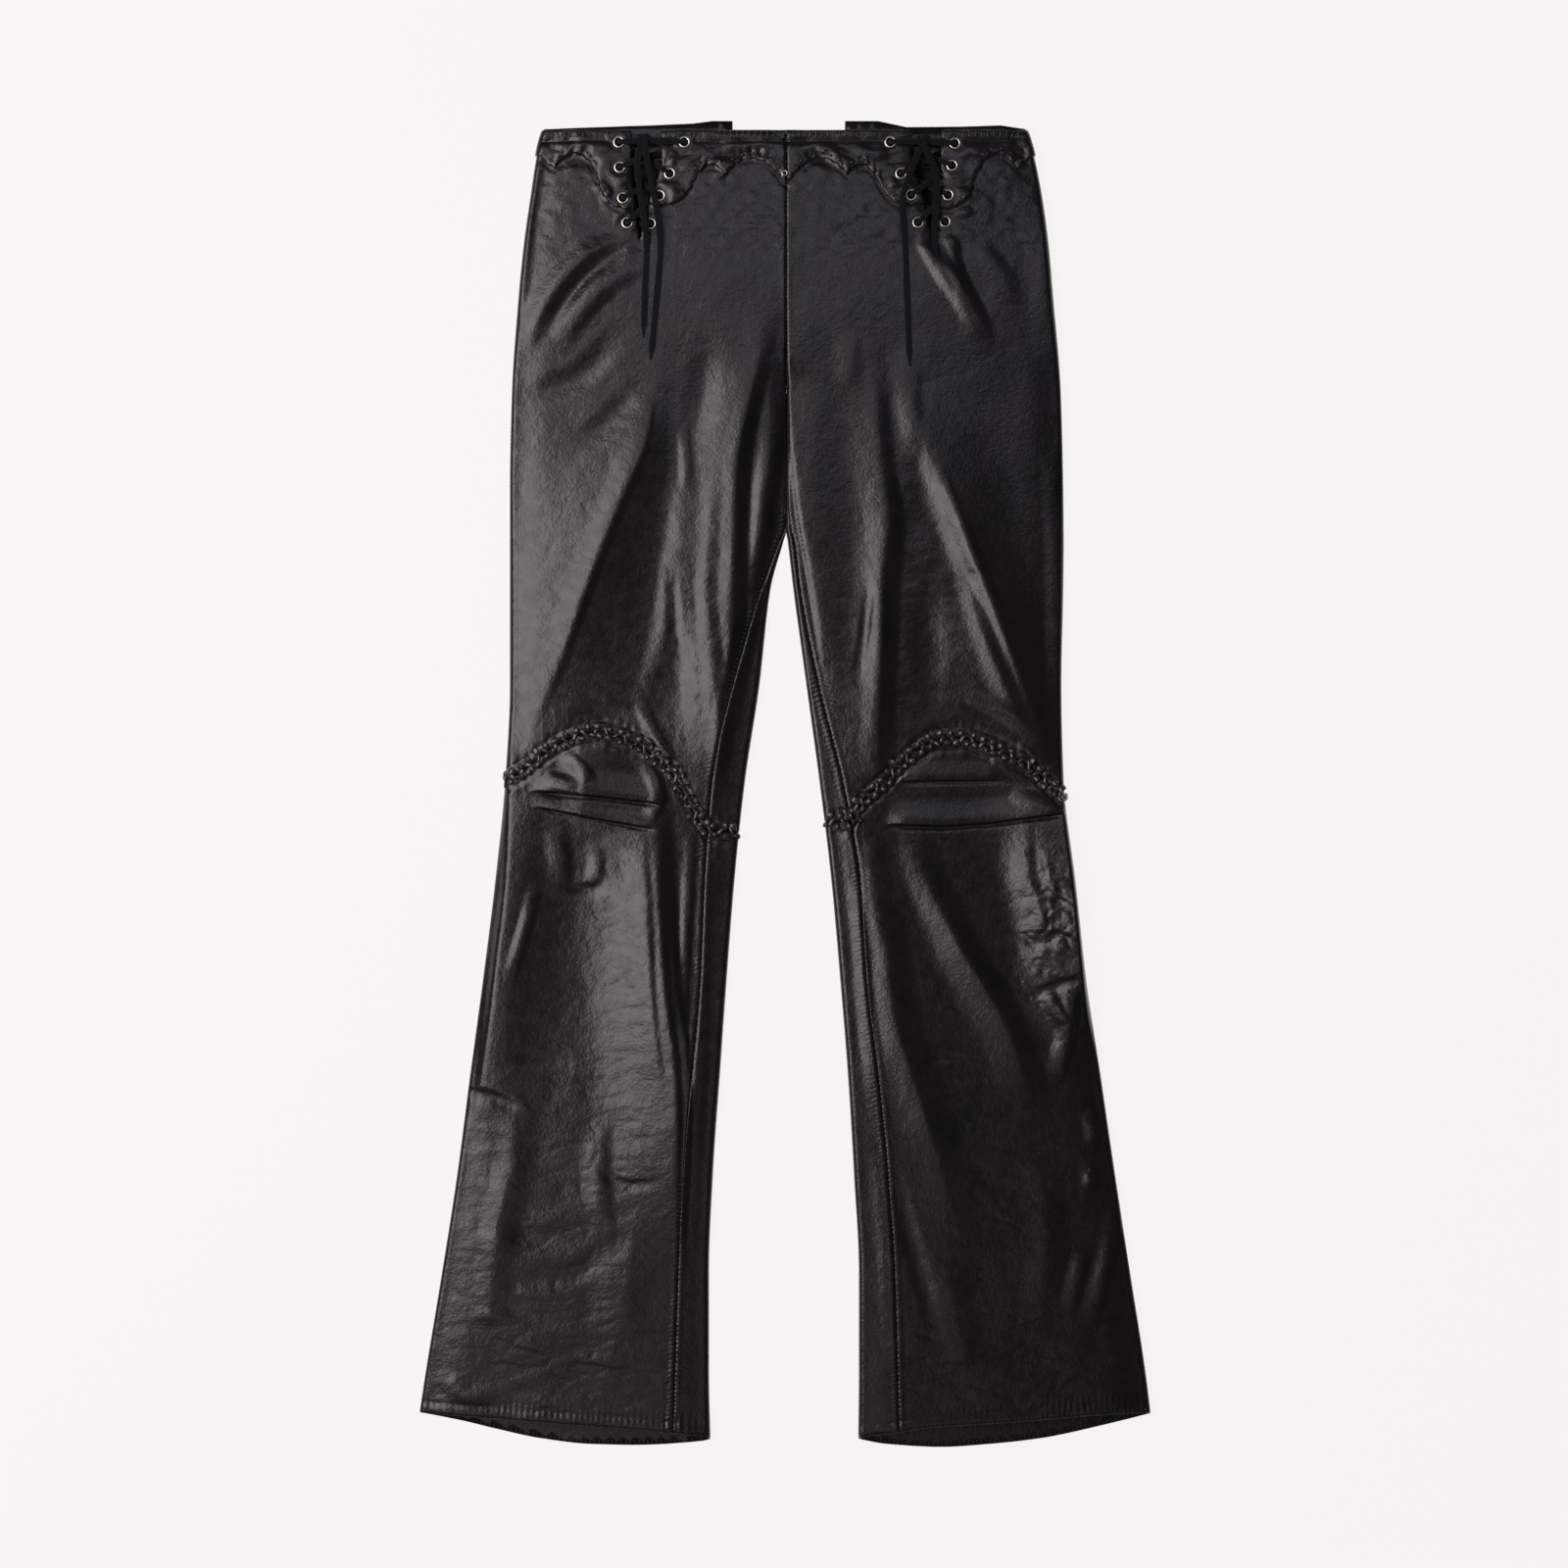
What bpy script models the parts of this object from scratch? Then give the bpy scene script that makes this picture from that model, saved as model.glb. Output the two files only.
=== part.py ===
"""Leather trousers laid flat on a table, front up, as a maker cuts them: panels, bands, eyelets, laces.

Every leather piece is a wall of one thickness, lifted from a flat chart. A place on the chart is (a, y):
a is the distance out from the middle of the garment, measured over the leather round the rolled side
edges, and y runs up the garment. Sizes are in millimetres and become metres as each mesh is made.
"""

import math
from collections import namedtuple

import bmesh
import bpy
import numpy as np
from mathutils.geometry import delaunay_2d_cdt

MM = 0.001

# Leather, and how the laid garment stands off the table
LEATHER = 1.2        # wall of every cut piece
SEAM_GAP = 0.3       # between two pieces at a seam, and under a piece sewn on top
FOLD_RADIUS = 3.6    # rolled edge at the sides of the hips and legs
LEG_LOFT = 9.0       # top face of a leg above the table
HIP_LOFT = 10.5      # top face of the hips above the table
LOFT_BLEND = (300.0, 400.0)  # heights between which one loft becomes the other
EDGE_DROP = 1.6      # how much lower the top face is where it starts to roll over
EDGE_REACH = 14.0    # how far in from the roll that drop is felt
CALM = (404.0, 428.0)  # creases fade out between these heights, so that the eyelets lie flat

# The middle of the garment
CENTRE_X = 1.8       # centre front and centre back seams
FRONT_TOP = 507.0    # top edge of the front
CROTCH = (306.0, 333.0)  # between these heights the hips part into two legs
BACK_BAND_SEAM = 480.0   # seam between the seat and the back waistband

# V slits in the front, as distances from the centre front seam
V_BOTTOM = (115.3, 417.8)
V_OUTER_EDGE = ((120.1, 507.0), (119.2, 470.0), (117.3, 429.0))
V_INNER_EDGE = ((97.3, 507.0), (97.3, 480.2), (104.1, 463.4), (109.4, 444.0), (114.0, 425.0))

# Eyelets
EYELET_SIDES = 8
LEATHER_HOLE_R = 3.5
BARREL_R = 3.1
BORE_R = 2.6
FLANGE_R = 4.95
WASHER_R = 4.4
FLANGE_LIFT = 1.2
WASHER_DEPTH = 0.8

# Laces
LACE_R = 1.3
LACE_BEND = 2.2      # radius of the turn in and out of an eyelet
LACE_HIGH = 15.1     # lace on top of a flange
LACE_OVER_EDGE = 14.0
LACE_UNDER_EDGE = 7.2
LACE_LOW = 6.2       # lace below a washer
LACE_STEP = 4.4      # between points of a lace through the eyelets
LACE_END_STEP = 3 * 2 * LACE_R
CROSSING_HIGH, CROSSING_LOW = 13.0, 8.6  # the half that has just come over its edge passes above
LACE_OVER_CROSSINGS = 17.9  # a free end where it lies on the crossings
KNOT_RADII = (5.5, 4.5, 3.2)
KNOT_HEIGHT = 16.4

# Tubular rivet ring on the centre front of the band
RIVET_PLACE = (0.4, 473.6)
RIVET_R, RIVET_BORE_R, RIVET_HEIGHT = 2.7, 1.2, 1.1
RIVET_SIDES = 12

# Laced band over each knee seam
BAND_HALF_WIDTH = 6.0
LACING_PITCH = 6.6
BAND_BASE = 0.6      # underside of the band above the leather
BAND_MIDDLE = 1.4
BAND_ROLL = 8.0      # length at each end of a band that lies on a rolled edge
BAND_ROLL_STEP = 1.3
BAND_SQUARED = 20.0  # over this length its sections turn square to the side edge
BAND_END = 0.8       # it stops this far short of the furthest line of the rolls
LOOP_LOW, LOOP_HIGH = 1.5, 2.3
LOOP_OFFSET = 3.6

# Creases and tucks
CREASE_FLANK = 1.6   # foot of a flank, in half widths
CREASE_ENDS = 0.06   # share of a half wave left beyond each end of a crease
TUCK_ENDS = (8.0, 12.0)  # a tuck rises from this far outside its end to this far inside

# Mesh spacing
ROW_STEP = 34.0
COLUMN_STEP = 31.0   # between the points of a fill
ROW_TO_COLUMN = 1.1
UNDERSIDE_STEP = 48.0
EDGE_STEP = 44.0     # longest straight stretch of an outline
SEAM_STEP = 9.0      # along the knee seams
HEM_STEP = 18.0
GUIDE_STEP = 18.0    # along tucks and under free lace ends
CREST_STEP = 30.0    # along the crests of creases
BEYOND = 20.0        # guide lines run past the ends of a piece by this much
CLEARANCE = 11.0     # fill points keep this far from edges and guide lines
FOLD_STEPS = 3       # facets in a quarter turn of a rolled edge
BESIDE_FOLD = (8.0, 18.0)  # further guide lines this far in from a roll, on the top face
KNEE_ZONES = {"outer": (-30.0, 14.0), "inner": (-50.0, -18.0)}  # where the laced band crosses the rolls
KNEE_ZONE_STEP = 8.0
STRIP_TOP = 150.0    # below this the back shows beside the inseam
ROLL_TOP = 176.0     # below this the front reaches the inner fold's roll
PARTING = (150.0, 340.0)  # the inner edges of the panels bend most between these heights
PARTING_POINTS = 20
NEAR_END = 3.0       # an edge has no point closer than this to its own ends
BESIDE_SEAM = (9.0, 8.0, 26.0)  # a guide line inside a knee seam: off it, and short of its two ends

# Laid-flat shape: distances out from x = 0 of each leg's outer fold, inner fold and inseam
Section = namedtuple(
    "Section", "y outer_left inner_left inseam_left outer_right inner_right inseam_right"
)
SECTIONS = (
    Section(520, 183.0, -0.3, -0.3, 184.0, 2.9, 2.9),
    Section(494, 191.2, -0.3, -0.3, 193.0, 2.9, 2.9),
    Section(456, 197.3, -0.3, -0.3, 200.9, 2.9, 2.9),
    Section(418, 202.6, -0.3, -0.3, 206.0, 2.9, 2.9),
    Section(380, 206.4, -0.3, -0.3, 209.3, 2.9, 2.9),
    Section(304, 211.7, -0.3, -0.3, 215.4, 2.9, 2.9),
    Section(228, 213.3, -0.3, -0.3, 217.3, 2.9, 2.9),
    Section(190, 213.3, 0.5, 3.4, 217.7, 3.3, 7.9),
    Section(152, 213.3, 10.3, 16.9, 217.3, 7.1, 12.3),
    Section(76, 213.3, 19.1, 39.2, 215.8, 17.4, 27.0),
    Section(0, 217.1, 30.5, 56.1, 217.7, 27.7, 45.8),
    Section(-76, 224.7, 38.5, 61.8, 226.8, 36.8, 59.1),
    Section(-152, 234.2, 44.5, 65.1, 235.1, 43.6, 64.1),
    Section(-228, 244.4, 49.9, 71.7, 246.5, 49.7, 73.4),
    Section(-304, 254.3, 55.2, 77.8, 257.6, 54.3, 80.7),
    Section(-380, 266.1, 58.2, 82.3, 269.3, 58.1, 86.0),
    Section(-456, 278.6, 58.2, 84.8, 281.1, 58.1, 88.0),
    Section(-525, 289.0, 56.5, 86.8, 289.5, 57.3, 89.8),
)

# Knee seam and hems: (distance out, height)
KNEE_SEAM = {
    "left": (
        (28, -38.5), (39.2, -37.4), (59, -35.1), (71.9, -19.2), (83.3, 3.6), (102.3, 22.6),
        (121.3, 34.0), (144.1, 40.9), (163.1, 36.3), (182.1, 26.4), (201.1, 11.2), (222, -1.0),
    ),
    "right": (
        (24, -29.0), (32.2, -29.0), (52, -29.0), (61.1, -13.8), (80.1, 3.6), (99.1, 22.6),
        (118.1, 34.0), (137.1, 35.6), (159.9, 28.7), (182.7, 18.8), (201.7, 3.6), (222, -16.0),
    ),
}
FRONT_HEM = {
    "left": ((52, -508.0), (83.3, -504.1), (200, -494.5), (290, -487.2)),
    "right": (
        (52, -508.0), (78.4, -504.8), (110.5, -499.9), (183.5, -494.9), (261.5, -488.8), (290, -488.0),
    ),
}
BACK_HEM = {
    "left": (
        (52, -508.0), (64.3, -510.9), (113.7, -513.9), (149.4, -513.2),
        (189.7, -508.6), (221.6, -501.8), (250.5, -494.9), (290, -487.2),
    ),
    "right": (
        (52, -508.0), (80.1, -513.2), (121.9, -515.5), (159.9, -513.2),
        (200.2, -508.6), (243.5, -499.5), (290, -488.0),
    ),
}

# Top edge of the back waistband, out from the step at the centre back
BACK_BAND_TOP = {
    "left": ((40.0, 515.5), (55.9, 515.5), (70.4, 513.6), (103.8, 512.1), (150.9, 510.6), (186, 509.0)),
    "right": ((47.4, 515.5), (73.3, 515.5), (95.3, 510.8), (139, 511.2), (168.3, 512.1), (186, 509.0)),
}
BACK_NOTCH_HEIGHT = 501.0

# Lower edge of the front bands from the centre front out: corner, then the middle of the curve to the next
Scallop = namedtuple("Scallop", "corner middle")
FRONT_BAND_EDGE = (
    Scallop((0.4, 465.0), (24.0, 485.0)),
    Scallop((47.1, 472.6), (61.0, 479.5)),
    Scallop((73.7, 462.0), (88.0, 450.0)),
    Scallop((107.6, 450.5), None),
)
SIDE_BAND_EDGE = (
    Scallop((118.0, 446.0), (137.0, 450.5)),
    Scallop((146.0, 469.0), (161.0, 488.5)),
    Scallop((179.5, 477.5), (185.0, 480.5)),
    Scallop((189.5, 486.5), None),
)

Eyelet = namedtuple("Eyelet", "leg edge row out y banded")
EYELETS = (
    Eyelet("left", "outer", 1, 128.1, 497.6, True),
    Eyelet("left", "outer", 2, 127.4, 478.2, True),
    Eyelet("left", "outer", 3, 124.9, 454.4, True),
    Eyelet("left", "outer", 4, 121.6, 435.3, False),
    Eyelet("left", "inner", 1, 77.2, 497.6, True),
    Eyelet("left", "inner", 2, 88.6, 473.3, True),
    Eyelet("left", "inner", 3, 96.4, 456.2, True),
    Eyelet("left", "inner", 4, 103.4, 434.6, False),
    Eyelet("right", "inner", 1, 82.4, 497.6, True),
    Eyelet("right", "inner", 2, 90.7, 473.3, True),
    Eyelet("right", "inner", 3, 98.6, 456.6, True),
    Eyelet("right", "inner", 4, 104.0, 435.6, False),
    Eyelet("right", "outer", 1, 132.5, 496.6, True),
    Eyelet("right", "outer", 2, 130.3, 479.6, True),
    Eyelet("right", "outer", 3, 127.2, 456.6, True),
    Eyelet("right", "outer", 4, 125.0, 436.1, False),
)
KNOT_PLACES = {"left": (109.0, 499.0), "right": (107.5, 498.0)}

# Free ends: (distance out, height, lift of the lace's middle above the leather, or None over the crossings)
LACE_REST = LACE_R + 2 * SEAM_GAP
LACES_REST_BELOW = 410.0
LACE_ENDS = {
    ("left", 1): (
        (110.8, 493.6, None), (113.4, 479.0, None), (111.6, 460.0, None), (108.8, 440.0, None),
        (106.8, 427.0, 5.4), (106.6, 408.0, LACE_REST), (108.0, 380.0, LACE_REST), (109.0, 346.0, LACE_REST),
    ),
    ("left", 2): (
        (107.2, 493.6, None), (105.4, 479.0, None), (101.0, 458.0, None), (97.4, 438.0, None),
        (96.0, 424.0, 5.4), (96.2, 406.0, LACE_REST), (100.2, 362.0, LACE_REST), (103.6, 329.0, LACE_REST),
    ),
    ("right", 1): (
        (105.6, 492.6, None), (99.0, 476.0, None), (92.6, 458.0, None), (92.4, 440.0, None),
        (93.6, 425.0, 5.4), (94.6, 406.0, LACE_REST), (95.6, 376.0, LACE_REST), (97.6, 324.0, LACE_REST),
    ),
    ("right", 2): (
        (109.4, 492.6, None), (115.4, 480.0, None), (118.6, 464.0, None), (117.6, 444.0, None),
        (116.6, 428.0, 5.8), (118.6, 408.0, LACE_REST),
    ),
}

# Creases: path over the chart, half width and height (a trough is negative)
Crease = namedtuple("Crease", "leg half_width height path")
CREASES = (
    Crease("left", 8, 2.4, ((121.3, 424.0), (151.7, 398.8), (197.3, 357.0))),
    Crease("left", 7, 2.0, ((112.2, 398.8), (144.1, 384.0), (170.7, 341.8))),
    Crease("left", 14, 3.6, ((110.7, 292.4), (135.0, 205.0), (159.3, 121.4), (180.0, 58.0))),
    Crease("left", 15, -1.2, ((119.0, 236.0), (128.0, 150.0), (138.0, 66.0))),
    Crease("left", 9, 2.6, ((93.9, 258.2), (102.3, 182.2), (109.9, 121.4), (115.2, 62.0))),
    Crease("left", 14, 2.4, ((74.0, 190.0), (80.0, 120.0), (85.0, 46.0))),
    Crease("left", 11, 2.8, ((41.5, 303.8), (46.8, 180.0), (56.7, 75.8))),
    Crease("left", 7, 2.0, ((10.0, 322.0), (21.0, 243.0), (34.0, 150.0), (47.0, 70.0))),
    Crease("left", 24, 3.0, ((151.7, -95.0), (113.7, -266.0))),
    Crease("left", 12, -1.2, ((206.0, -80.0), (193.5, -182.0))),
    Crease("right", 7, 1.9, ((108.0, 404.0), (149.3, 355.5))),
    Crease("right", 8, 1.8, ((44.0, 319.0), (40.0, 212.0))),
    Crease("right", 11, 2.6, ((62.6, 303.8), (63.4, 182.2), (61.1, 50.0))),
    Crease("right", 14, -1.2, ((104.0, 190.0), (99.0, 52.0))),
    Crease("right", 10, 3.4, ((97.2, 281.0), (133.3, 182.2), (154.6, 136.6), (193.0, 42.0))),
    Crease("right", 9, 2.0, ((137.0, 140.0), (152.0, 91.0), (168.0, 48.0))),
    Crease("right", 20, 2.6, ((99.1, -61.0), (152.3, -190.0))),
    Crease("right", 14, 1.9, ((182.7, -76.0), (216.9, -190.0))),
)

# Pressed tucks across the knee: the leather above the line steps down over the leather below it
Tuck = namedtuple("Tuck", "leg height run drop line")
TUCKS = (
    Tuck("left", 2.2, 26.0, 2.6, ((96.0, -14.6), (143.3, -9.3), (191.0, -5.0))),
    Tuck("left", 1.6, 12.0, 2.4, ((104.0, -33.6), (148.6, -26.0), (190.0, -17.6))),
    Tuck("right", 1.7, 24.0, 2.4, ((93.0, 3.0), (130.0, 3.6), (168.0, 4.0))),
    Tuck("right", 2.2, 24.0, 2.6, ((84.0, -31.0), (122.7, -32.4), (162.0, -29.6), (215.0, -22.4))),
)

Finish = namedtuple("Finish", "colour roughness metallic")
FINISHES = {
    "leather": Finish((0.016, 0.015, 0.017), 0.38, 0.0),
    "suede": Finish((0.010, 0.010, 0.012), 0.85, 0.0),
    "nickel": Finish((0.62, 0.60, 0.57), 0.22, 1.0),
}
Leg = namedtuple("Leg", "name side outer inner inseam knee front_hem back_hem")


def smooth_curve(points, samples=1500):
    """A function through a table's points, curved but without overshoot."""
    knots, values = (np.array(column, float) for column in zip(*sorted(points)))
    rise = np.diff(values) / np.diff(knots)
    slope = np.concatenate([rise[:1], np.zeros(len(knots) - 2), rise[-1:]])
    for i in range(1, len(knots) - 1):
        if rise[i - 1] * rise[i] > 0:
            slope[i] = 2 / (1 / rise[i - 1] + 1 / rise[i])
    at = np.linspace(knots[0], knots[-1], samples)
    i = np.clip(np.searchsorted(knots, at, side="right") - 1, 0, len(knots) - 2)
    step = knots[i + 1] - knots[i]
    t = (at - knots[i]) / step
    start = values[i] * (1 + 2 * t) * (1 - t) ** 2 + slope[i] * step * t * (1 - t) ** 2
    end = values[i + 1] * t * t * (3 - 2 * t) + slope[i + 1] * step * t * t * (t - 1)
    return lambda where: np.interp(where, at, start + end)


def smooth_step(value, low, high):
    t = np.clip((value - low) / (high - low), 0.0, 1.0)
    return t * t * (3 - 2 * t)


def make_leg(name, side):
    def column(kind):
        return smooth_curve([(row.y, getattr(row, f"{kind}_{name}")) for row in SECTIONS])

    return Leg(
        name, side, column("outer"), column("inner"), column("inseam"),
        smooth_curve(KNEE_SEAM[name]), smooth_curve(FRONT_HEM[name]), smooth_curve(BACK_HEM[name]),
    )


# ---------------------------------------------------------------- the form of the laid garment


def leg_share(y):
    """0 on the hips, where the tube is one, and 1 down the legs, where each has an inner fold."""
    return 1 - smooth_step(y, *CROTCH)


def outer_edge(leg, y):
    """Chart place of the outer fold's furthest line, where front and back meet."""
    return leg.outer(y) + (math.pi / 2 - 1) * FOLD_RADIUS


def inner_edge(leg, y):
    return leg.inner(y) - (math.pi / 2 - 1) * FOLD_RADIUS


def inseam(leg, y):
    """Chart place of the inseam, which leaves the fold below the crotch and climbs on to the top."""
    in_from_fold = np.clip(leg.inseam(y) - leg.inner(y), 0, None)
    on_roll = leg.inner(y) + FOLD_RADIUS * (1 - np.arcsin(np.clip(1 - in_from_fold / FOLD_RADIUS, 0, 1)))
    return np.where(in_from_fold < FOLD_RADIUS, on_roll, leg.inseam(y))


def crease_height(crease, a, y):
    """A ridge or trough with round flanks that fades out towards both ends of its path."""
    path = np.array(crease.path)
    lengths = np.linalg.norm(np.diff(path, axis=0), axis=1)
    before = np.concatenate([[0], np.cumsum(lengths)])
    nearest = np.full(np.shape(a), np.inf)
    along = np.zeros(np.shape(a))
    for start, end, length, run in zip(path, path[1:], lengths, before):
        direction = (end - start) / length
        t = np.clip((a - start[0]) * direction[0] + (y - start[1]) * direction[1], 0, length)
        away = np.hypot(a - start[0] - t * direction[0], y - start[1] - t * direction[1])
        closer = away < nearest
        nearest = np.where(closer, away, nearest)
        along = np.where(closer, (run + t) / before[-1], along)
    flank = np.clip(nearest / (CREASE_FLANK * crease.half_width), 0, 1)
    fade = np.sqrt(np.sin(math.pi * (CREASE_ENDS + (1 - 2 * CREASE_ENDS) * along)))
    return crease.height * fade * (1 + np.cos(math.pi * flank)) / 2


def tuck_height(tuck, a, y):
    outs, heights = zip(*tuck.line)
    above = y - np.interp(a, outs, heights)
    step = np.where(above > 0, 1 - smooth_step(above, 0, tuck.run), smooth_step(above, -tuck.drop, 0))
    outside, inside = TUCK_ENDS
    ends = smooth_step(a, outs[0] - outside, outs[0] + inside)
    ends = ends * (1 - smooth_step(a, outs[-1] - inside, outs[-1] + outside))
    return tuck.height * step * ends


def loft(leg, a, y):
    """Height of the top face above the table, before it rolls over at the folds."""
    height = LEG_LOFT + (HIP_LOFT - LEG_LOFT) * smooth_step(y, *LOFT_BLEND)
    outside = leg.outer(y) - FOLD_RADIUS - a
    inside = a - leg.inner(y) - FOLD_RADIUS
    height = height - EDGE_DROP * np.exp(-((np.clip(outside, 0, None) / EDGE_REACH) ** 2))
    height = height - leg_share(y) * EDGE_DROP * np.exp(-((np.clip(inside, 0, None) / EDGE_REACH) ** 2))
    creased = sum(crease_height(c, a, y) for c in CREASES if c.leg == leg.name)
    creased = creased + sum(tuck_height(t, a, y) for t in TUCKS if t.leg == leg.name)
    return height + creased * (1 - smooth_step(y, *CALM))


def turns(leg, a, y):
    """How far the leather has turned round the outer fold and round the inner one, in radians."""
    outer = (a - leg.outer(y)) / FOLD_RADIUS + 1
    inner = (leg.inner(y) - a) / FOLD_RADIUS + 1
    return np.clip(outer, 0, math.pi / 2), np.clip(inner, 0, math.pi / 2)


def place_across(leg, a, y):
    outer_turn, inner_turn = turns(leg, a, y)
    out = np.where(outer_turn > 0, leg.outer(y) - FOLD_RADIUS * (1 - np.sin(outer_turn)), a)
    rolled_in = leg.inner(y) + FOLD_RADIUS * (1 - np.sin(inner_turn))
    out = np.where(inner_turn > 0, a + leg_share(y) * (rolled_in - a), out)
    return leg.side * out


def front_face(leg, a, y):
    """Outer face of the top layer."""
    outer_turn, inner_turn = turns(leg, a, y)
    height = loft(leg, a, y)
    drop = (1 - np.cos(outer_turn)) + leg_share(y) * (1 - np.cos(inner_turn))
    return np.stack([place_across(leg, a, y), y, height - (height - FOLD_RADIUS) * drop], axis=-1)


def back_face(leg, w, y):
    """Outer face of the back: under the garment, then round the inner fold and up on to the top."""
    edge = inner_edge(leg, y)
    outer_turn, inner_turn = turns(leg, w, y)
    rise = FOLD_RADIUS * ((1 - np.cos(outer_turn)) + leg_share(y) * (1 - np.cos(inner_turn)))
    under = np.stack([place_across(leg, w, y), y, rise], axis=-1)
    return np.where((w >= edge)[..., None], under, front_face(leg, 2 * edge - w, y))


def lifted(face, leg, a, y, lift, facing):
    """The face moved out by lift along its own normal."""
    a, y = np.asarray(a, float), np.asarray(y, float)
    nudge = 0.05
    across = face(leg, a + nudge, y) - face(leg, a - nudge, y)
    along = face(leg, a, y + nudge) - face(leg, a, y - nudge)
    normal = np.cross(across, along)
    normal /= np.linalg.norm(normal, axis=-1, keepdims=True)
    return face(leg, a, y) + lift * facing * leg.side * normal


def front_at(leg, a, y, lift):
    return lifted(front_face, leg, a, y, lift, 1)


def back_at(leg, w, y, lift):
    return lifted(back_face, leg, w, y, lift, -1)


# ---------------------------------------------------------------- meshes


def material(name):
    found = bpy.data.materials.get(name)
    if found:
        return found
    finish = FINISHES[name]
    made = bpy.data.materials.new(name)
    made.use_nodes = True
    shader = made.node_tree.nodes["Principled BSDF"]
    shader.inputs["Base Color"].default_value = (*finish.colour, 1)
    shader.inputs["Roughness"].default_value = finish.roughness
    shader.inputs["Metallic"].default_value = finish.metallic
    made.diffuse_color = (*finish.colour, 1)
    return made


def add_object(name, points, faces, finish):
    """An object from points in millimetres, with its faces turned outwards."""
    mesh = bpy.data.meshes.new(name)
    mesh.from_pydata([tuple(MM * c for c in point) for point in points], [], faces)
    shell = bmesh.new()
    shell.from_mesh(mesh)
    bmesh.ops.recalc_face_normals(shell, faces=shell.faces)
    shell.to_mesh(mesh)
    shell.free()
    mesh.materials.append(material(finish))
    made = bpy.data.objects.new(name, mesh)
    bpy.context.scene.collection.objects.link(made)
    return made


def within(loop, points):
    """Which points lie inside a closed loop."""
    loop = np.asarray(loop)
    inside = np.zeros(len(points), bool)
    for (x0, y0), (x1, y1) in zip(loop, np.roll(loop, -1, axis=0)):
        spans = (y0 > points[:, 1]) != (y1 > points[:, 1])
        reach = x0 + (points[:, 1] - y0) * (x1 - x0) / (y1 - y0 if y1 != y0 else 1)
        inside ^= spans & (points[:, 0] < reach)
    return inside


def refined(line, longest, closed=False):
    """The line again with no stretch longer than that."""
    line = [tuple(p) for p in line]
    ends = zip(line, line[1:] + line[:1] if closed else line[1:])
    points = []
    for start, end in ends:
        pieces = max(1, math.ceil(math.dist(start, end) / longest))
        for i in range(pieces):
            points.append(tuple(s + (e - s) * i / pieces for s, e in zip(start, end)))
    return points if closed else points + [line[-1]]


def chart_triangles(outline, holes, guides, fill):
    """Triangles over the chart inside the outline, with every guide line kept as an edge."""
    points, edges = [], []
    for line, closed in [(outline, True)] + [(h, True) for h in holes] + [(g, False) for g in guides]:
        first = len(points)
        points += [tuple(p) for p in line]
        edges += [(i, i + 1) for i in range(first, len(points) - 1)]
        if closed:
            edges.append((len(points) - 1, first))
    drawn = np.array(points)
    fill = np.array([p for p in fill if np.hypot(*(drawn - p).T).min() > CLEARANCE]).reshape(-1, 2)
    inside = within(outline, fill)
    for hole in holes:
        inside &= ~within(hole, fill)
    points += [tuple(p) for p in fill[inside]]
    made = delaunay_2d_cdt(points, edges, [], 0, 1e-3, False)
    places = np.array([tuple(p) for p in made[0]])
    triangles = np.array(made[2])
    centres = places[triangles].mean(axis=1)
    keep = within(outline, centres)
    for hole in holes:
        keep &= ~within(hole, centres)
    used, triangles = np.unique(triangles[keep], return_inverse=True)
    return places[used], triangles.reshape(-1, 3)


def add_sheet(name, leg, place, outline, lifts, holes=(), guides=(), fill=()):
    """A wall between two lifts of a face, over an outline drawn on the chart."""
    chart, triangles = chart_triangles(outline, holes, guides, fill)
    count = len(chart)
    points = np.concatenate([place(leg, chart[:, 0], chart[:, 1], lift) for lift in lifts])
    faces = [tuple(t) for t in triangles] + [tuple(t[::-1] + count) for t in triangles]
    directed = {(t[i], t[(i + 1) % 3]) for t in triangles for i in range(3)}
    for start, end in sorted(directed):
        if (end, start) not in directed:
            faces.append((end, start, start + count, end + count))
    faces = [tuple(int(i) for i in face) for face in faces]
    return add_object(name, points, faces, "leather")


def add_tube(name, route, sides_per_quarter, finish):
    curve = bpy.data.curves.new(name, "CURVE")
    curve.dimensions = "3D"
    curve.bevel_depth = LACE_R * MM
    curve.bevel_resolution = sides_per_quarter
    curve.use_fill_caps = True
    spline = curve.splines.new("POLY")
    spline.points.add(len(route) - 1)
    for point, place in zip(spline.points, route):
        point.co = (*(MM * c for c in place), 1)
    curve.materials.append(material(finish))
    made = bpy.data.objects.new(name, curve)
    bpy.context.scene.collection.objects.link(made)
    return made


def smooth_route(points, step):
    """Points about step apart on one smooth curve through a route's own points."""
    points = np.array(points, float)
    ends = 2 * points[0] - points[1], 2 * points[-1] - points[-2]
    p = np.concatenate([[ends[0]], points, [ends[1]]])
    dense = []
    for before, start, end, after in zip(p, p[1:], p[2:], p[3:]):
        for t in np.linspace(0, 1, 12, endpoint=False):
            out = 2 * start + (end - before) * t
            out += (2 * before - 5 * start + 4 * end - after) * t ** 2
            dense.append((out + (3 * start - before - 3 * end + after) * t ** 3) / 2)
    dense = np.array(dense + [points[-1]])
    run = np.concatenate([[0], np.cumsum(np.linalg.norm(np.diff(dense, axis=0), axis=1))])
    at = np.linspace(0, run[-1], math.ceil(run[-1] / step) + 1)
    return np.stack([np.interp(at, run, dense[:, k]) for k in range(3)], axis=1)


# ---------------------------------------------------------------- outlines on the chart


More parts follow.
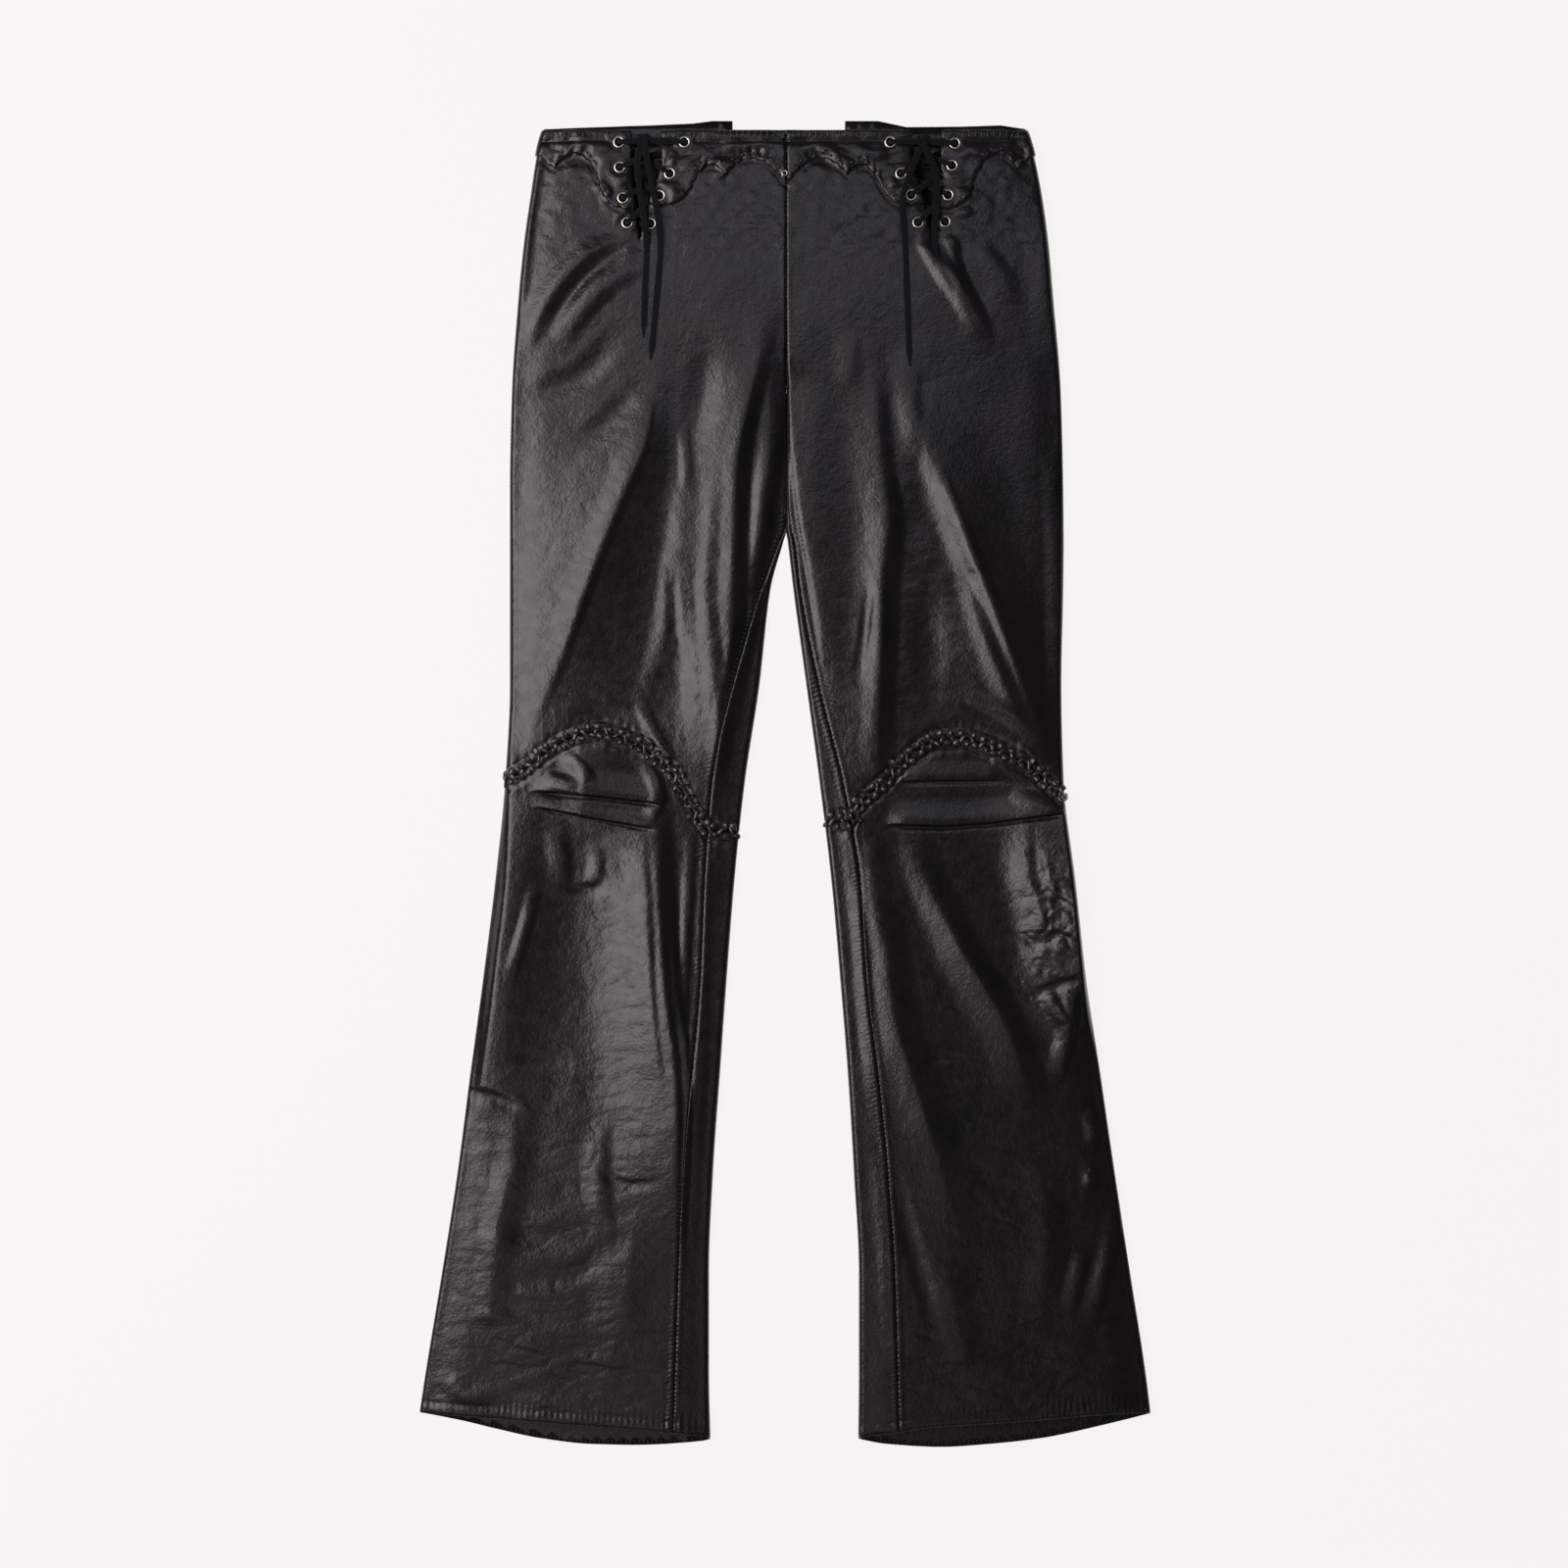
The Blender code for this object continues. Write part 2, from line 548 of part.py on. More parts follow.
def curve_through(start, middle, end, pieces=6):
    """Points of a simple curve from start to end that passes through the middle, without its end."""
    start, middle, end = (np.array(p) for p in (start, middle, end))
    pull = 2 * middle - (start + end) / 2
    steps = np.linspace(0, 1, pieces, endpoint=False)
    return [tuple((1 - t) ** 2 * start + 2 * t * (1 - t) * pull + t * t * end) for t in steps]


def scalloped(edge, shift):
    """A scalloped edge from its first corner to its last, moved out by shift."""
    points = []
    for here, after in zip(edge, edge[1:]):
        points += curve_through(here.corner, here.middle, after.corner)
    return [(out + shift, y) for out, y in points + [edge[-1].corner]]


def centre_shift(leg):
    """From a distance out of the centre seam to a chart place."""
    return leg.side * CENTRE_X


def heights(low, high, step=ROW_STEP):
    return np.linspace(low, high, max(2, math.ceil(abs(high - low) / step) + 1))


def seam_meets(leg, line, edge):
    """Where a line across the leg, given as a height for each place, meets an edge down it."""
    y = 0.0
    for _ in range(12):
        y = float(line(edge(leg, y)))
    return float(edge(leg, y)), y


def front_inner(leg, y):
    """Inner edge of the front: centre front on the hips, then the inseam."""
    return centre_shift(leg) + leg_share(y) * (inseam(leg, y) - centre_shift(leg)) + SEAM_GAP / 2


def back_inner(leg, y):
    """Inner edge of the back: centre back on the hips, then round the fold to the inseam."""
    round_fold = 2 * inner_edge(leg, y) - inseam(leg, y)
    return centre_shift(leg) + leg_share(y) * (round_fold - centre_shift(leg)) + SEAM_GAP / 2


def along_edge(leg, edge, low, high, inset=0.0):
    """Points up an edge of the chart, closer together where the legs part."""
    levels = list(np.arange(ROW_STEP * math.ceil(low / ROW_STEP), high, ROW_STEP))
    if edge in (front_inner, back_inner) and low < CROTCH[0] < high:
        levels += list(np.linspace(*PARTING, PARTING_POINTS))
    levels = sorted({round(float(y), 2) for y in levels if low <= y <= high} | {low, high})
    between = [y for y in levels if y - low > NEAR_END and high - y > NEAR_END]
    return [(float(edge(leg, y)) - inset, y) for y in [low, *between, high]]


def fold_levels(low, high, side, step):
    """Heights of the points of a line down a rolled edge, closer together under the laced band."""
    zone = KNEE_ZONES[side]
    levels = [y for y in heights(low, high, step) if not zone[0] < y < zone[1]]
    levels += [y for y in heights(*zone, KNEE_ZONE_STEP) if low < y < high]
    return sorted(levels)


def fold_guides(leg, low, high, side, step=ROW_STEP, beside=BESIDE_FOLD):
    """Lines down a rolled edge, one for each facet, and others on the flat beside it."""
    insets = [FOLD_RADIUS * (1 - i / FOLD_STEPS * math.pi / 2) for i in range(FOLD_STEPS)]
    insets += [FOLD_RADIUS + b for b in beside]
    levels = fold_levels(low, high, side, step)
    if side == "outer":
        return [[(float(leg.outer(y)) - inset, y) for y in levels] for inset in insets]
    return [[(float(leg.inner(y)) + inset, y) for y in levels] for inset in insets]


def crease_guides(leg, low, high):
    """The crest of each crease."""
    lines = []
    for crease in CREASES:
        path = np.array(crease.path)
        if crease.leg != leg.name or path[:, 1].max() > high or path[:, 1].min() < low:
            continue
        lines.append(refined(crease.path, CREST_STEP))
    return lines


def tuck_guides(leg):
    """The crest and the foot of each tuck."""
    lines = []
    for tuck in TUCKS:
        if tuck.leg == leg.name:
            for drop in (0, tuck.drop):
                lines.append(refined([(out, y - drop) for out, y in tuck.line], GUIDE_STEP))
    return lines


def fill_points(leg, low, high, inner, outer, step=COLUMN_STEP):
    """A staggered grid over the chart between two edges."""
    points = []
    for row, y in enumerate(np.arange(low, high, ROW_TO_COLUMN * step)):
        start, end = float(inner(leg, y)), float(outer(leg, y))
        columns = max(2, round((end - start) / step))
        for column in range(columns + 1):
            points.append((start + (end - start) * (column + 0.5 * (row % 2)) / columns, float(y)))
    return points


def circle(centre, radius, sides):
    turns_to = [2 * math.pi * i / sides for i in range(sides)]
    return [(centre[0] + radius * math.cos(t), centre[1] + radius * math.sin(t)) for t in turns_to]


def eyelet_holes(leg, edges, banded_only):
    holes = []
    for eyelet in EYELETS:
        if eyelet.leg == leg.name and eyelet.edge in edges and (eyelet.banded or not banded_only):
            holes.append(circle((eyelet.out, eyelet.y), LEATHER_HOLE_R, EYELET_SIDES))
    return holes


def line_across(line, start, end, inset, step=SEAM_STEP):
    """Points of a line across the leg, from one chart place to another."""
    count = max(2, math.ceil(abs(end - start) / step) + 1)
    return [(float(out), float(line(out)) + inset) for out in np.linspace(start, end, count)]


# ---------------------------------------------------------------- pieces


def add_front_thigh(leg):
    shift = centre_shift(leg)
    out_end, out_y = seam_meets(leg, leg.knee, outer_edge)
    in_end, in_y = seam_meets(leg, leg.knee, front_inner)
    gap = SEAM_GAP / 2
    outline = along_edge(leg, front_inner, in_y + gap, FRONT_TOP)
    outline += [(out + shift, y) for out, y in V_INNER_EDGE]
    outline.append((V_BOTTOM[0] + shift, V_BOTTOM[1]))
    outline += [(out + shift, y) for out, y in reversed(V_OUTER_EDGE)]
    outline += along_edge(leg, outer_edge, out_y + gap, FRONT_TOP, gap)[::-1]
    outline += line_across(leg.knee, out_end - gap, in_end, gap)[1:-1]
    guides = fold_guides(leg, out_y - BEYOND, FRONT_TOP + BEYOND, "outer")
    guides += fold_guides(leg, ROLL_TOP, CROTCH[0], "inner")
    guides += crease_guides(leg, out_y, FRONT_TOP)
    off, short_in, short_out = BESIDE_SEAM
    guides.append(line_across(leg.knee, out_end - short_out, in_end + short_in, off, 12))
    for (name, _), points in LACE_ENDS.items():
        if name == leg.name:
            resting = [(out, y) for out, y, _ in points if y < LACES_REST_BELOW]
            guides.append(refined(resting, GUIDE_STEP))
    fill = fill_points(leg, in_y, FRONT_TOP, front_inner, outer_edge)
    holes = eyelet_holes(leg, ("outer", "inner"), False)
    name = f"front_thigh_{leg.name}"
    add_sheet(name, leg, front_at, refined(outline, EDGE_STEP, True), (0, -LEATHER), holes, guides, fill)


def add_front_shin(leg):
    out_end, out_y = seam_meets(leg, leg.knee, outer_edge)
    in_end, in_y = seam_meets(leg, leg.knee, front_inner)
    hem_out, hem_out_y = seam_meets(leg, leg.front_hem, outer_edge)
    hem_in, hem_in_y = seam_meets(leg, leg.front_hem, front_inner)
    gap = SEAM_GAP / 2
    outline = along_edge(leg, front_inner, hem_in_y, in_y - gap)
    outline += line_across(leg.knee, in_end, out_end - gap, -gap)[1:-1]
    outline += along_edge(leg, outer_edge, hem_out_y, out_y - gap, gap)[::-1]
    outline += line_across(leg.front_hem, hem_out - gap, hem_in, 0, ROW_STEP)[1:-1]
    guides = fold_guides(leg, hem_in_y - BEYOND, out_y + BEYOND, "outer")
    guides += crease_guides(leg, hem_out_y, in_y)
    guides += tuck_guides(leg)
    off, short_in, short_out = BESIDE_SEAM
    guides.append(line_across(leg.knee, out_end - short_out, in_end + short_in, -off, 12))
    fill = fill_points(leg, hem_in_y, out_y + 2 * BEYOND, front_inner, outer_edge)
    add_sheet(f"front_shin_{leg.name}", leg, front_at, outline, (0, -LEATHER), (), guides, fill)


def back_line(leg, line):
    """A line round the back: as given over the inner fold's strip, and straight under the leg."""
    fold_place, fold_y = seam_meets(leg, line, inner_edge)
    out_place, out_y = seam_meets(leg, line, outer_edge)

    def height(w):
        under = fold_y + (out_y - fold_y) * smooth_step(w, fold_place, out_place)
        return np.where(w < fold_place, line(2 * fold_place - w), under)

    return height


def back_guides(leg, low, high):
    """Lines down both rolled edges of the back, and down the strip that it turns up on to the top."""
    guides = fold_guides(leg, low, high, "outer", UNDERSIDE_STEP, ())
    guides += fold_guides(leg, low, min(high, CROTCH[0]), "inner", UNDERSIDE_STEP, ())
    strip_top = min(high, STRIP_TOP)
    for line in fold_guides(leg, low, strip_top, "inner", ROW_STEP, BESIDE_FOLD[:1]):
        guides.append([(2 * float(inner_edge(leg, y)) - a, y) for a, y in line])
    levels = fold_levels(low, strip_top, "inner", ROW_STEP)
    guides.append([(float(inner_edge(leg, y)), y) for y in levels])
    return guides


def add_back_thigh(leg):
    line = back_line(leg, leg.knee)
    out_end, out_y = seam_meets(leg, line, outer_edge)
    in_end, in_y = seam_meets(leg, line, back_inner)
    gap = SEAM_GAP / 2
    top = BACK_BAND_SEAM - gap
    outline = along_edge(leg, back_inner, in_y + gap, top)
    outline += along_edge(leg, outer_edge, out_y + gap, top, gap)[::-1]
    outline += line_across(line, out_end - gap, in_end, gap)[1:-1]
    guides = back_guides(leg, in_y - BEYOND, top + BEYOND)
    fill = fill_points(leg, in_y, top, inner_edge, outer_edge, UNDERSIDE_STEP)
    outline = refined(outline, UNDERSIDE_STEP, True)
    add_sheet(f"back_thigh_{leg.name}", leg, back_at, outline, (0, -LEATHER), (), guides, fill)


def add_back_calf(leg):
    line = back_line(leg, leg.knee)
    out_end, out_y = seam_meets(leg, line, outer_edge)
    in_end, in_y = seam_meets(leg, line, back_inner)
    fold_place, fold_y = seam_meets(leg, leg.back_hem, inner_edge)
    hem_out, hem_out_y = seam_meets(leg, leg.back_hem, outer_edge)
    gap = SEAM_GAP / 2

    def hem(w):
        return np.where(w < fold_place, leg.front_hem(2 * fold_place - w), leg.back_hem(w))

    hem_in, hem_in_y = seam_meets(leg, hem, back_inner)
    outline = along_edge(leg, back_inner, hem_in_y, in_y - gap)
    outline += line_across(line, in_end, out_end - gap, -gap)[1:-1]
    outline += along_edge(leg, outer_edge, hem_out_y, out_y - gap, gap)[::-1]
    outline += line_across(hem, hem_out - gap, hem_in, 0, HEM_STEP)[1:-1]
    guides = back_guides(leg, hem_in_y - BEYOND, out_y + BEYOND)
    fill = fill_points(leg, hem_in_y, out_y + BEYOND, inner_edge, outer_edge, UNDERSIDE_STEP)
    add_sheet(f"back_calf_{leg.name}", leg, back_at, outline, (0, -LEATHER), (), guides, fill)


def add_back_waistband(leg):
    """The back band, with its step down at the centre back."""
    gap = SEAM_GAP / 2
    low = BACK_BAND_SEAM + gap
    top = BACK_BAND_TOP[leg.name]
    corner_y = top[-1][1]
    start = centre_shift(leg) + gap
    outline = [(start, low), (start, BACK_NOTCH_HEIGHT), (top[0][0], BACK_NOTCH_HEIGHT)]
    outline += top[:-1]
    outline += along_edge(leg, outer_edge, low, corner_y, gap)[::-1]
    guides = fold_guides(leg, low - BEYOND, corner_y + BEYOND, "outer")
    outline = refined(outline, EDGE_STEP, True)
    add_sheet(f"back_waistband_{leg.name}", leg, back_at, outline, (0, -LEATHER), (), guides)


def v_edge_above(edge, height, shift):
    """The part of a V edge above a height, from the top down."""
    outs, ys = zip(*edge)
    at_height = float(np.interp(height, ys[::-1], outs[::-1]))
    return [(out + shift, y) for out, y in edge if y > height] + [(at_height + shift, height)]


def add_front_waistband(leg):
    """From the centre front to the V slit, scalloped below."""
    shift = centre_shift(leg)
    corner = FRONT_BAND_EDGE[-1].corner
    outline = v_edge_above(V_INNER_EDGE, corner[1], shift)
    outline += scalloped(FRONT_BAND_EDGE, shift)[:-1][::-1]
    outline.append((SEAM_GAP / 2 + shift, FRONT_TOP))
    lifts = (SEAM_GAP + LEATHER, SEAM_GAP)
    holes = eyelet_holes(leg, ("inner",), True)
    outline = refined(outline, EDGE_STEP, True)
    add_sheet(f"front_waistband_{leg.name}", leg, front_at, outline, lifts, holes)


def add_side_waistband(leg):
    """From the V slit to the side fold."""
    shift = centre_shift(leg)
    corner = SIDE_BAND_EDGE[0].corner
    end = SIDE_BAND_EDGE[-1].corner
    outline = v_edge_above(V_OUTER_EDGE, corner[1], shift)[:-1]
    outline += scalloped(SIDE_BAND_EDGE, shift)
    outline += along_edge(leg, outer_edge, end[1] + 1, FRONT_TOP, SEAM_GAP / 2)
    lifts = (SEAM_GAP + LEATHER, SEAM_GAP)
    holes = eyelet_holes(leg, ("outer",), True)
    guides = fold_guides(leg, end[1] - BEYOND, FRONT_TOP + BEYOND, "outer")
    outline = refined(outline, EDGE_STEP, True)
    add_sheet(f"side_waistband_{leg.name}", leg, front_at, outline, lifts, holes, guides)


def add_turned(name, centre, profile, sides, finish):
    """A ring turned about an upright axis from a closed profile of (radius, height)."""
    points, faces = [], []
    count = len(profile)
    for i in range(sides):
        angle = 2 * math.pi * i / sides
        for radius, z in profile:
            points.append((centre[0] + radius * math.cos(angle), centre[1] + radius * math.sin(angle), z))
    for i in range(sides):
        here, after = i * count, (i + 1) % sides * count
        for j in range(count):
            k = (j + 1) % count
            faces.append((here + j, here + k, after + k, after + j))
    return add_object(name, points, faces, finish)


def add_eyelet(leg, eyelet):
    """A flange on top, a barrel through the leather and a washer below."""
    top = HIP_LOFT + (SEAM_GAP + LEATHER if eyelet.banded else 0)
    bottom = HIP_LOFT - LEATHER
    profile = (
        (BORE_R, bottom - SEAM_GAP - WASHER_DEPTH),
        (WASHER_R, bottom - SEAM_GAP - WASHER_DEPTH / 2),
        (BARREL_R, bottom - SEAM_GAP),
        (BARREL_R, top + SEAM_GAP),
        (FLANGE_R, top + SEAM_GAP),
        ((BORE_R + FLANGE_R) / 2, top + FLANGE_LIFT),
        (BORE_R, top + SEAM_GAP),
    )
    name = f"eyelet_{leg.name}_{eyelet.edge}_{eyelet.row}"
    add_turned(name, (leg.side * eyelet.out, eyelet.y), profile, EYELET_SIDES, "nickel")


def add_rivet():
    """A small tubular rivet ring on the centre front of the band."""
    base = HIP_LOFT + 2 * SEAM_GAP + LEATHER
    profile = (
        (RIVET_BORE_R, base), (RIVET_R, base),
        (RIVET_R, base + RIVET_HEIGHT / 2), (RIVET_BORE_R, base + RIVET_HEIGHT),
    )
    add_turned("front_rivet", RIVET_PLACE, profile, RIVET_SIDES, "nickel")


def way_to_crossing(start, end, other_start, other_end):
    """How far along one straight way another crosses it in plan."""
    way, other = end - start, other_end - other_start
    between = other_start - start
    return (between[0] * other[1] - between[1] * other[0]) / (way[0] * other[1] - way[1] * other[0])


def edge_crossing(leg, start, end, edge):
    """How far along the way from one eyelet to another the lace passes a V edge."""
    outs, ys = zip(*edge)
    steps = np.linspace(0, 1, 400)
    out = start[0] + (end[0] - start[0]) * steps
    y = start[1] + (end[1] - start[1]) * steps
    away = out - centre_shift(leg) - np.interp(y, ys[::-1], outs[::-1])
    return float(steps[np.argmin(np.abs(away))])


def nearer_edge(leg, place):
    """Which edge of the V a place in its gap is nearer to."""
    outer, inner = (np.interp(place[1], *zip(*((y, out) for out, y in reversed(edge))))
                    for edge in (V_OUTER_EDGE, V_INNER_EDGE))
    return "outer" if 2 * (place[0] - centre_shift(leg)) > outer + inner else "inner"


def eyelet_spots(leg, first_edge):
    """Eyelets from the bottom row up, on alternate edges of the V."""
    edges = (first_edge, "inner" if first_edge == "outer" else "outer")
    found = {(e.edge, e.row): np.array([e.out, e.y]) for e in EYELETS if e.leg == leg.name}
    return [found[edges[(4 - row) % 2], row] for row in (4, 3, 2, 1)]


def lace_route(leg, half):
    """One half of a lace: up through an eyelet, over the edge, down through the gap, and so on."""
    first_edge, other_edge = ("outer", "inner") if half == "first" else ("inner", "outer")
    spots, others = eyelet_spots(leg, first_edge), eyelet_spots(leg, other_edge)
    v_edges = {"outer": V_OUTER_EDGE, "inner": V_INNER_EDGE}
    bar_middle = (spots[0] + others[0]) / 2
    knot = np.array(KNOT_PLACES[leg.name])
    towards = (bar_middle - spots[0]) / np.linalg.norm(bar_middle - spots[0])
    route = [(*(bar_middle - towards * SEAM_GAP / 2), LACE_LOW)]
    near = LACE_BEND * (1 - math.sqrt(0.5))
    came = bar_middle
    for i, spot in enumerate(spots):
        last = i + 1 == len(spots)
        goes = knot if last else spots[i + 1]
        back = (came - spot) / np.linalg.norm(came - spot)
        ahead = (goes - spot) / np.linalg.norm(goes - spot)
        route += [(*(spot + back * LACE_BEND), LACE_LOW), (*(spot + back * near), LACE_LOW + near)]
        route += [(*spot, LACE_LOW + LACE_BEND), (*spot, LACE_HIGH - LACE_BEND)]
        route += [(*(spot + ahead * near), LACE_HIGH - near), (*(spot + ahead * LACE_BEND), LACE_HIGH)]
        came = spot
        if last:
            route.append((*(knot - ahead * (KNOT_RADII[0] + SEAM_GAP)), LACE_HIGH + 0.4))
            break
        own, far = (first_edge, other_edge) if i % 2 == 0 else (other_edge, first_edge)
        over = edge_crossing(leg, spot, goes, v_edges[own])
        under = edge_crossing(leg, spot, goes, v_edges[far])
        crossing = way_to_crossing(spot, goes, others[i], others[i + 1])
        meets = nearer_edge(leg, spot + (goes - spot) * crossing)
        passing = CROSSING_HIGH if meets == own else CROSSING_LOW
        for way, height in ((over, LACE_OVER_EDGE), (crossing, passing), (under, LACE_UNDER_EDGE)):
            route.append((*(spot + (goes - spot) * way), height))
    return [(leg.side * out, y, z) for out, y, z in route]


def end_route(leg, points):
    """A free end from its knot, over the crossings and down on to the leather."""
    route = []
    for out, y, lift in points:
        z = LACE_OVER_CROSSINGS if lift is None else float(loft(leg, out, y)) + lift
        route.append((leg.side * out, y, z))
    return route


def add_knot(leg):
    out, y = KNOT_PLACES[leg.name]
    bpy.ops.mesh.primitive_uv_sphere_add(segments=12, ring_count=6, radius=1)
    knot = bpy.context.active_object
    knot.name = knot.data.name = f"lace_knot_{leg.name}"
    for vertex in knot.data.vertices:
        place = [c * r for c, r in zip(vertex.co, KNOT_RADII)]
        vertex.co = (MM * (leg.side * out + place[0]), MM * (y + place[1]), MM * (KNOT_HEIGHT + place[2]))
    knot.data.materials.append(material("suede"))


def band_stations(length):
    """Where the sections of a band lie along it: two to a loop, and closer on the rolled edges."""
    loops = 2 * round((length - 2 * BAND_ROLL) / LACING_PITCH)
    middle = np.linspace(BAND_ROLL, length - BAND_ROLL, loops + 1)
    roll = np.linspace(0, BAND_ROLL, round(BAND_ROLL / BAND_ROLL_STEP), endpoint=False)
    return np.concatenate([roll, middle, length - roll[::-1]])


def add_knee_band(leg):
    """The laced band over the knee seam: two rows of loops that rise in turn."""
    out_end = seam_meets(leg, leg.knee, outer_edge)[0] - BAND_END
    in_end = seam_meets(leg, leg.knee, inner_edge)[0] + BAND_END
    a = np.linspace(in_end, out_end, 1200)
    y = leg.knee(a)
    run = np.concatenate([[0], np.cumsum(np.hypot(np.diff(a), np.diff(y)))])
    stations = band_stations(run[-1])
    a, y = np.interp(stations, run, a), np.interp(stations, run, y)
    ahead = np.gradient(np.stack([a, y], axis=1), stations, axis=0)
    ahead /= np.linalg.norm(ahead, axis=1, keepdims=True)
    squared = smooth_step(stations, run[-1] - BAND_SQUARED, run[-1] - BAND_ROLL)[:, None]
    ahead = ahead * (1 - squared) + np.array([1.0, 0.0]) * squared
    points, faces = [], []
    for i in range(len(stations)):
        loops = (LOOP_HIGH, LOOP_LOW) if i % 2 else (LOOP_LOW, LOOP_HIGH)
        profile = (
            (-BAND_HALF_WIDTH, BAND_BASE), (BAND_HALF_WIDTH, BAND_BASE),
            (LOOP_OFFSET, loops[0]), (0, BAND_MIDDLE), (-LOOP_OFFSET, loops[1]),
        )
        for offset, lift in profile:
            there = (a[i] - offset * ahead[i, 1], y[i] + offset * ahead[i, 0])
            across = np.clip(there[0], inner_edge(leg, there[1]) + 0.1, outer_edge(leg, there[1]) - 0.1)
            points.append(front_at(leg, across, there[1], lift))
    count = len(profile)
    for i in range(len(stations) - 1):
        for j in range(count):
            here, beside = i * count + j, i * count + (j + 1) % count
            faces.append((here, beside, beside + count, here + count))
    faces += [tuple(range(count))[::-1], tuple(range(len(points) - count, len(points)))]
    add_object(f"knee_lacing_{leg.name}", points, faces, "leather")


def build():
    for leftover in list(bpy.data.objects):
        bpy.data.objects.remove(leftover, do_unlink=True)
    legs = {"left": make_leg("left", -1), "right": make_leg("right", 1)}
    for leg in legs.values():
        add_front_thigh(leg)
        add_front_shin(leg)
        add_back_thigh(leg)
        add_back_calf(leg)
        add_back_waistband(leg)
        add_front_waistband(leg)
        add_side_waistband(leg)
        add_knee_band(leg)
        add_knot(leg)
        for half in ("first", "second"):
            route = smooth_route(lace_route(leg, half), LACE_STEP)
            add_tube(f"lace_{leg.name}_{half}", route, 1, "suede")
    for (name, number), points in LACE_ENDS.items():
        route = smooth_route(end_route(legs[name], points), LACE_END_STEP)
        add_tube(f"lace_end_{name}_{number}", route, 2, "suede")
    for eyelet in EYELETS:
        add_eyelet(legs[eyelet.leg], eyelet)
    add_rivet()


build()
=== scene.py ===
"""Looks of a pair of black leather trousers laid flat, front up, on a pale table.

Each panel is a thin closed shell that follows its CAD solid. A place on a panel's chart is (a, y): a is the
distance out from the middle of the garment, measured over the leather, and y runs up the garment. The
creases are placed as (x, y), with x to the viewer's right. All of it is in millimetres, and becomes metres
as each mesh is made.
"""

import math
from collections import namedtuple

import bmesh
import bpy
import numpy as np
from mathutils.geometry import delaunay_2d_cdt
from mathutils.kdtree import KDTree
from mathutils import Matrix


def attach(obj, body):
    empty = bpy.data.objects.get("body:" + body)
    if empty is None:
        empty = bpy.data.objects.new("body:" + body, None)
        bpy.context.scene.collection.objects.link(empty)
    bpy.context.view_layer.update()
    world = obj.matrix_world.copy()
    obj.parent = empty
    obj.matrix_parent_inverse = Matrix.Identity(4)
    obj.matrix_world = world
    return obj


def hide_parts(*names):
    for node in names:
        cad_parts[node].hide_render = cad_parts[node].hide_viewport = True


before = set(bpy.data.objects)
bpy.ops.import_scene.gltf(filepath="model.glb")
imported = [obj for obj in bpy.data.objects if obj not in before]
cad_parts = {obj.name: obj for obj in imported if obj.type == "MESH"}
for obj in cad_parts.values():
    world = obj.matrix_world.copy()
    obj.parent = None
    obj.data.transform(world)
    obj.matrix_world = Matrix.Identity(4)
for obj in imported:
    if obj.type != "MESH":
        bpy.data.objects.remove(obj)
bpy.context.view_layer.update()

MM = 0.001

# Leather, and how the laid garment stands off the table
LEATHER = 1.2
SEAM_GAP = 0.3
JOIN = 0.03            # half the space left between two panels sewn edge to edge
BACK_SEAM_OFF = 1.2    # how far the back's centre seam is out of line with the front's
FOLD_RADIUS = 3.6
LEG_LOFT = 9.0
HIP_LOFT = 10.5
LOFT_BLEND = (300.0, 400.0)
EDGE_DROP = 1.6
EDGE_REACH = 14.0
CALM = (412.0, 430.0)      # creases fade out between these heights round the eyelets
CALM_COLUMN = (150.0, 168.0)  # and carry on beyond this distance out
CENTRE_X = 1.8
FRONT_TOP = 507.0
CROTCH = (306.0, 333.0)
BACK_BAND_SEAM = 480.0
V_BOTTOM = (113.6, 422.4)
V_OUTER_EDGE = ((120.1, 507.0), (119.2, 470.0), (117.2, 447.0), (114.8, 431.0))
V_INNER_EDGE = ((97.3, 507.0), (97.3, 480.2), (104.1, 463.4), (109.4, 444.0), (112.6, 428.0))

# Mesh spacing
FINE = 1.7           # between the points of a front panel's outer face
BAND_STEP = 1.5
UNDER_STEP = 5.0     # on the inner faces, and under the legs
RIM_STEP = 2.0       # along a cut edge
CLOSE_STEP = 0.95    # beside the inseams, where the puckers are
CLOSE_REACH = 7.5
STRIP_STEP = 2.0     # round the rolled edges of the back panels
ROLLED = 10.0        # a rolled edge and the leather beside it that has the closer spacing
EDGE_SOFT = 0.4      # how far a cut edge is rounded off
EDGE_SOFT_REACH = 2.2
ROW_SHARE = 0.88     # between a lattice's rows, for each step between its points
STRIP_ROWS = 3.2     # between the rows over the back
INSEAM_RIM_STEP = 1.1
FINE_CLEAR = 0.55    # fine points keep this far from a cut edge
FRONT_CLOSE_TOP, BACK_CLOSE_TOP = 330.0, 200.0   # the closer rows beside the inseams end here
# Lattices of points reach beyond the outlines that cut them out
PAST_SEAM, PAST_HEM = 5.0, 12.0
OVER_KNEE, OVER_BACK_KNEE = 45.0, 20.0
UNDER_BANDS, OVER_BACK_BAND = 440.0, 517.0
TUCK_ROWS = (-2.4, -1.5, -0.9, -0.3, 0.3, 1.0, 1.9, 3.0)   # beside each tuck's edge

